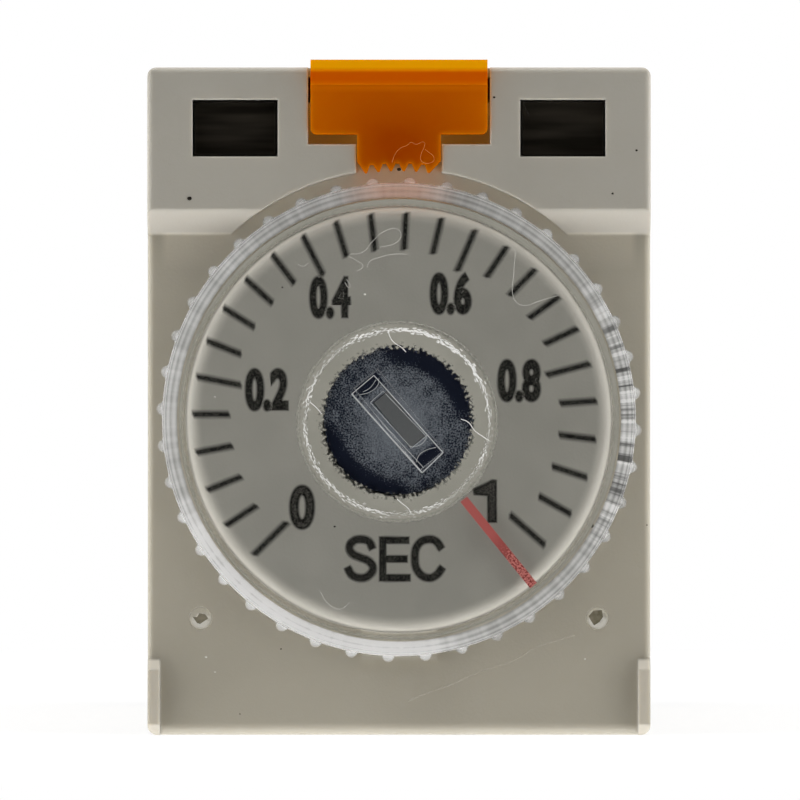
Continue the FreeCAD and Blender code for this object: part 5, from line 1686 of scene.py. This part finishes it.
for drawing in (cores, burrs):
    bmesh.ops.recalc_face_normals(drawing, faces=drawing.faces[:])
    bmesh.ops.solidify(drawing, geom=drawing.faces[:], thickness=BURR_THICKNESS)
stand(cores, PANEL - CORE_DEPTH)
keep(cores, "gate_cores", gate_brown, "housing")
stand(burrs, PANEL + GATE_PLAY)
keep(burrs, "gate_burrs", burr_finish(), "housing")

# %% [markdown]
# ## Specks
# A used relay carries small dark specks and pale crumbs. They are tiny balls, dented by a noise,
# flattened and sunk halfway into the face that carries them. Their places are picture points, turned
# into millimetres, and each rides on the body of its own face.

# %% Specks
DARK_SPECKS = {
    "header": ((190, 199, 0.1), (636, 151, 0.055), (612, 194, 0.05), (494, 98, 0.05)),
    "panel": ((281, 649, 0.035), (240, 714, 0.03), (590, 525, 0.095), (647, 525, 0.03)),
    "plate": ((335, 526, 0.05), (283, 288, 0.04)),
    "lever": ((399, 170, 0.09),),
}
PALE_CRUMBS = {
    "panel": ((206, 657, 0.06), (215, 672, 0.05), (585, 659, 0.04)),
    "plate": ((365, 295, 0.05), (216, 397, 0.04)),
}
LIP_RISE = 0.5
LEVER_FACE = front_of("lock_lever") - LIP_RISE
CARRIERS = {
    "header": (HEADER, "housing"),
    "panel": (PANEL, "housing"),
    "plate": (PLATE_FRONT, "housing"),
    "lever": (LEVER_FACE, "lever"),
}
SPECK_SHAPE = (1.0, 0.8, 0.3)
SPECK_DENTS = 0.35
speck_dark = broken_ink("dark speck", colour(22, 20, 17), colour(40, 36, 30), 0.4, 0.6)
crumb_pale = broken_ink("pale crumb", colour(214, 212, 204), colour(196, 193, 184), 0.4, 0.6)


def scatter(spots, carrier, name, material):
    """Flattened balls at picture points, half sunk in one face."""
    drawing = bmesh.new()
    for k, (column, row, radius) in enumerate(spots):
        x, z = seen_at(column, row)
        ball = bmesh.ops.create_icosphere(drawing, subdivisions=2, radius=radius)["verts"]
        for corner in ball:
            corner.co *= 1 + SPECK_DENTS * noise.noise(corner.co / radius + Vector((k, 0, 0)))
        bmesh.ops.scale(drawing, verts=ball, vec=SPECK_SHAPE)
        bmesh.ops.translate(drawing, verts=ball, vec=(x, z, 0))
    depth, body = CARRIERS[carrier]
    stand(drawing, depth)
    keep(drawing, f"{name}_{carrier}", material, body)


for carrier, spots in DARK_SPECKS.items():
    scatter(spots, carrier, "specks", speck_dark)
for carrier, spots in PALE_CRUMBS.items():
    scatter(spots, carrier, "crumbs", crumb_pale)

# %% [markdown]
# ## Lint and a scratch
# Fibres of lint lie curled on the dial, the lever and a lens, and one long pale scratch crosses the
# panel. Both are threads through a few picture points: lint lies on its face, and the scratch is
# almost flush with the panel and nearly clear, so that it only lightens what is below.

# %% Lint and scratch
LINT = 0.018
LINT_HAZE = (0.5, 0.7)
SCRATCH_HAZE = (0.05, 0.3)
SCRATCH_WIDTH = 0.07
SCRATCH_RISE = 0.02
LEVER_FIBRE = (
    (392, 163), (395, 155), (400, 149), (407, 146), (411, 143), (416, 145), (424, 143),
    (424, 148), (421, 155), (421, 161), (428, 164), (434, 160), (425, 150),
)
DIAL_FIBRES = (
    ((350, 255), (363, 253), (372, 243), (383, 233), (397, 230), (401, 236), (397, 243), (380, 248)),
    ((357, 272), (363, 267), (358, 262), (350, 258)),
    ((367, 268), (370, 262), (380, 258), (393, 255), (408, 255)),
    ((515, 251), (513, 275), (512.5, 297), (516, 303), (522.5, 306), (540, 301), (557, 296)),
    ((320, 590), (330, 604), (341, 608), (350, 601)),
    ((347, 280), (350, 288), (345, 283)),
    ((298, 265), (303, 267), (309, 264)),
)
LENS_FIBRE = ((523, 101), (525, 108), (529, 116))
SCRATCH = ((408, 701), (420, 696), (450, 685), (485, 670), (510, 662), (535, 648), (575, 635))


def fibre(points, thickness):
    return [(*seen_at(*point), -thickness / 2, thickness) for point in points]


def lay(name, paths, depth, body, slot, tone, haze=LINT_HAZE, thickness=LINT):
    """Threads that lie at a depth and ride on a body."""
    drawing = threads([fibre(path, thickness) for path in paths])
    stand(drawing, depth)
    finish = frosted(name.replace("_", " "), shade(tone, 0.85), shade(tone, 1.1), haze=haze)[0]
    keep(drawing, name, finish, body)


lay("lever_lint", [LEVER_FIBRE], LEVER_FACE + LINT, "lever", "orange_plastic", colour(204, 128, 64))
lay("dial_lint", DIAL_FIBRES, DIAL_FRONT, "dial", "clear_plastic", colour(200, 198, 190))
lens_level = front_of("output_lens") + LINT
lay("lens_lint", [LENS_FIBRE], lens_level, "housing", "smoked_plastic", colour(84, 82, 78))
scratch_look = (colour(196, 190, 176), SCRATCH_HAZE, SCRATCH_WIDTH)
lay("panel_scratch", [SCRATCH], PANEL + SCRATCH_RISE, "housing", "case_plastic", *scratch_look)

# %% [markdown]
# ## Light from all round
# The relay stands in a light tent: light comes from all round the rim of its front and hardly from
# the camera's side, so faces that lean down or sideways are brighter than those that look at the
# camera, and the step of the header shades the panel. The strength of the world is a function of
# direction, with a little more from below, where the table throws light back. The camera itself sees
# plain white, and so do mirrored and bent rays, as long as they don't turn back to the camera's side.

# %% World
RISE = (-0.2, 0.05)
RING = (0.6, 3.25)
FALL = (0.2, 0.7)
FROM_BELOW = (-0.6, 0.2, 1.37, 1.0)
WHITE = (1, 1, 1, 1)

scene.view_settings.view_transform = "Standard"
world = bpy.data.worlds.new("white tent")
scene.world = world
world.use_nodes = True
tree = world.node_tree
fill = tree.nodes["Background"]
fill.inputs["Color"].default_value = WHITE
coordinates = add(tree, "TexCoord")
direction = add(tree, "SeparateXYZ")
join(tree, coordinates.outputs["Generated"], direction.inputs["Vector"])
forward = math_node(tree, "MULTIPLY", direction.outputs["Y"], -1.0)
away = stretch(tree, forward, *FALL, 1, 0)
below = stretch(tree, direction.outputs["Z"], *FROM_BELOW)
join(tree, product(tree, stretch(tree, forward, *RISE, *RING), away, below), fill.inputs["Strength"])
plain = add(tree, "Background")
plain.inputs["Color"].default_value = WHITE
plain.inputs["Strength"].default_value = 1.0
path = add(tree, "LightPath")
bent = math_node(tree, "MAXIMUM", path.outputs["Is Glossy Ray"], path.outputs["Is Transmission Ray"])
seen = math_node(tree, "MAXIMUM", path.outputs["Is Camera Ray"], product(tree, bent, away))
tent = either(tree, seen, fill.outputs["Background"], plain.outputs["Background"])
join(tree, tent, tree.nodes["World Output"].inputs["Surface"])
print("world ready")

# %% [markdown]
# ## Lamps
# Three weak square lamps, left, right and above, give the light of the tent a direction: without
# them the ridges and the slot would have no bright side. Each is turned to the middle of the front.

# %% Lamps
LAMPS = {
    "left_lamp": ((-0.5, -0.12, 0.12), 0.15, 0.4),
    "right_lamp": ((0.5, -0.12, 0.12), 0.1, 0.4),
    "top_lamp": ((0.0, -0.15, 0.5), 0.3, 0.5),
}
for name, (place, power, size) in LAMPS.items():
    light = bpy.data.lights.new(name, "AREA")
    light.energy = power
    light.size = size
    lamp = show(name, light)
    lamp.location = place
    aim = Vector((0, -PANEL * MM, 0)) - Vector(place)
    lamp.rotation_mode = "QUATERNION"
    lamp.rotation_quaternion = aim.to_track_quat("-Z", "Y")
    print(f"{name}: {power} W")

# %% [markdown]
# ## The table
# The relay stands on a white table that keeps a soft shadow near it and fades into plain white
# further off. Only the camera sees the table: other light passes it, so that the same light reaches
# every height of the front. A mix by the kind of ray does that.

# %% Floor
TABLE = 2.0
TABLE_WHITE = (0.9, 0.9, 0.9, 1)
TABLE_FADE = (0.05, 0.12, 0.75, 1.0)
ground = bmesh.new()
bmesh.ops.create_grid(ground, x_segments=1, y_segments=1, size=TABLE)
bmesh.ops.translate(ground, verts=ground.verts[:], vec=(0, 0, CAD_BOX[0].z))
floor_mesh = bpy.data.meshes.new("floor")
ground.to_mesh(floor_mesh)
ground.free()
floor = show("floor", floor_mesh)
material, tree, surface = new_material("white table")
surface.inputs["Base Color"].default_value = TABLE_WHITE
surface.inputs["Roughness"].default_value = 0.9
surface.inputs["Specular IOR Level"].default_value = 0.0
coordinates = add(tree, "TexCoord")
faded = stretch(tree, distance_from(tree, coordinates.outputs["Object"]), *TABLE_FADE)
plain = add(tree, "Emission")
plain.inputs["Color"].default_value = WHITE
table = either(tree, faded, surface.outputs["BSDF"], plain.outputs["Emission"])
path = add(tree, "LightPath")
through = add(tree, "BsdfTransparent")
table = either(tree, path.outputs["Is Camera Ray"], through.outputs["BSDF"], table)
join(tree, table, tree.nodes["Material Output"].inputs["Surface"])
floor_mesh.materials.append(material)
print("floor at", round(CAD_BOX[0].z / MM, 2), "mm")

# %% [markdown]
# ## The camera
# The photograph was taken straight from the front, from half a metre away. The focal length follows
# from that distance and from the size of one picture point on the panel.

# %% Camera
FRAME_PIXELS = 2 * FRAME_MIDDLE
CAMERA_DISTANCE = 500.0
SENSOR = 36.0
camera = show("camera", bpy.data.cameras.new("camera"))
camera.data.sensor_width = SENSOR
camera.data.lens = SENSOR * CAMERA_DISTANCE / (PIXEL * FRAME_PIXELS)
camera.data.clip_start = 0.01
camera.location = (VIEW_X * MM, -(PANEL + CAMERA_DISTANCE) * MM, VIEW_Z * MM)
camera.rotation_euler = (math.radians(90), 0, 0)
scene.camera = camera
print("lens", round(camera.data.lens, 1), "mm")

# %% [markdown]
# ## The end

# %% End
print("scene built")
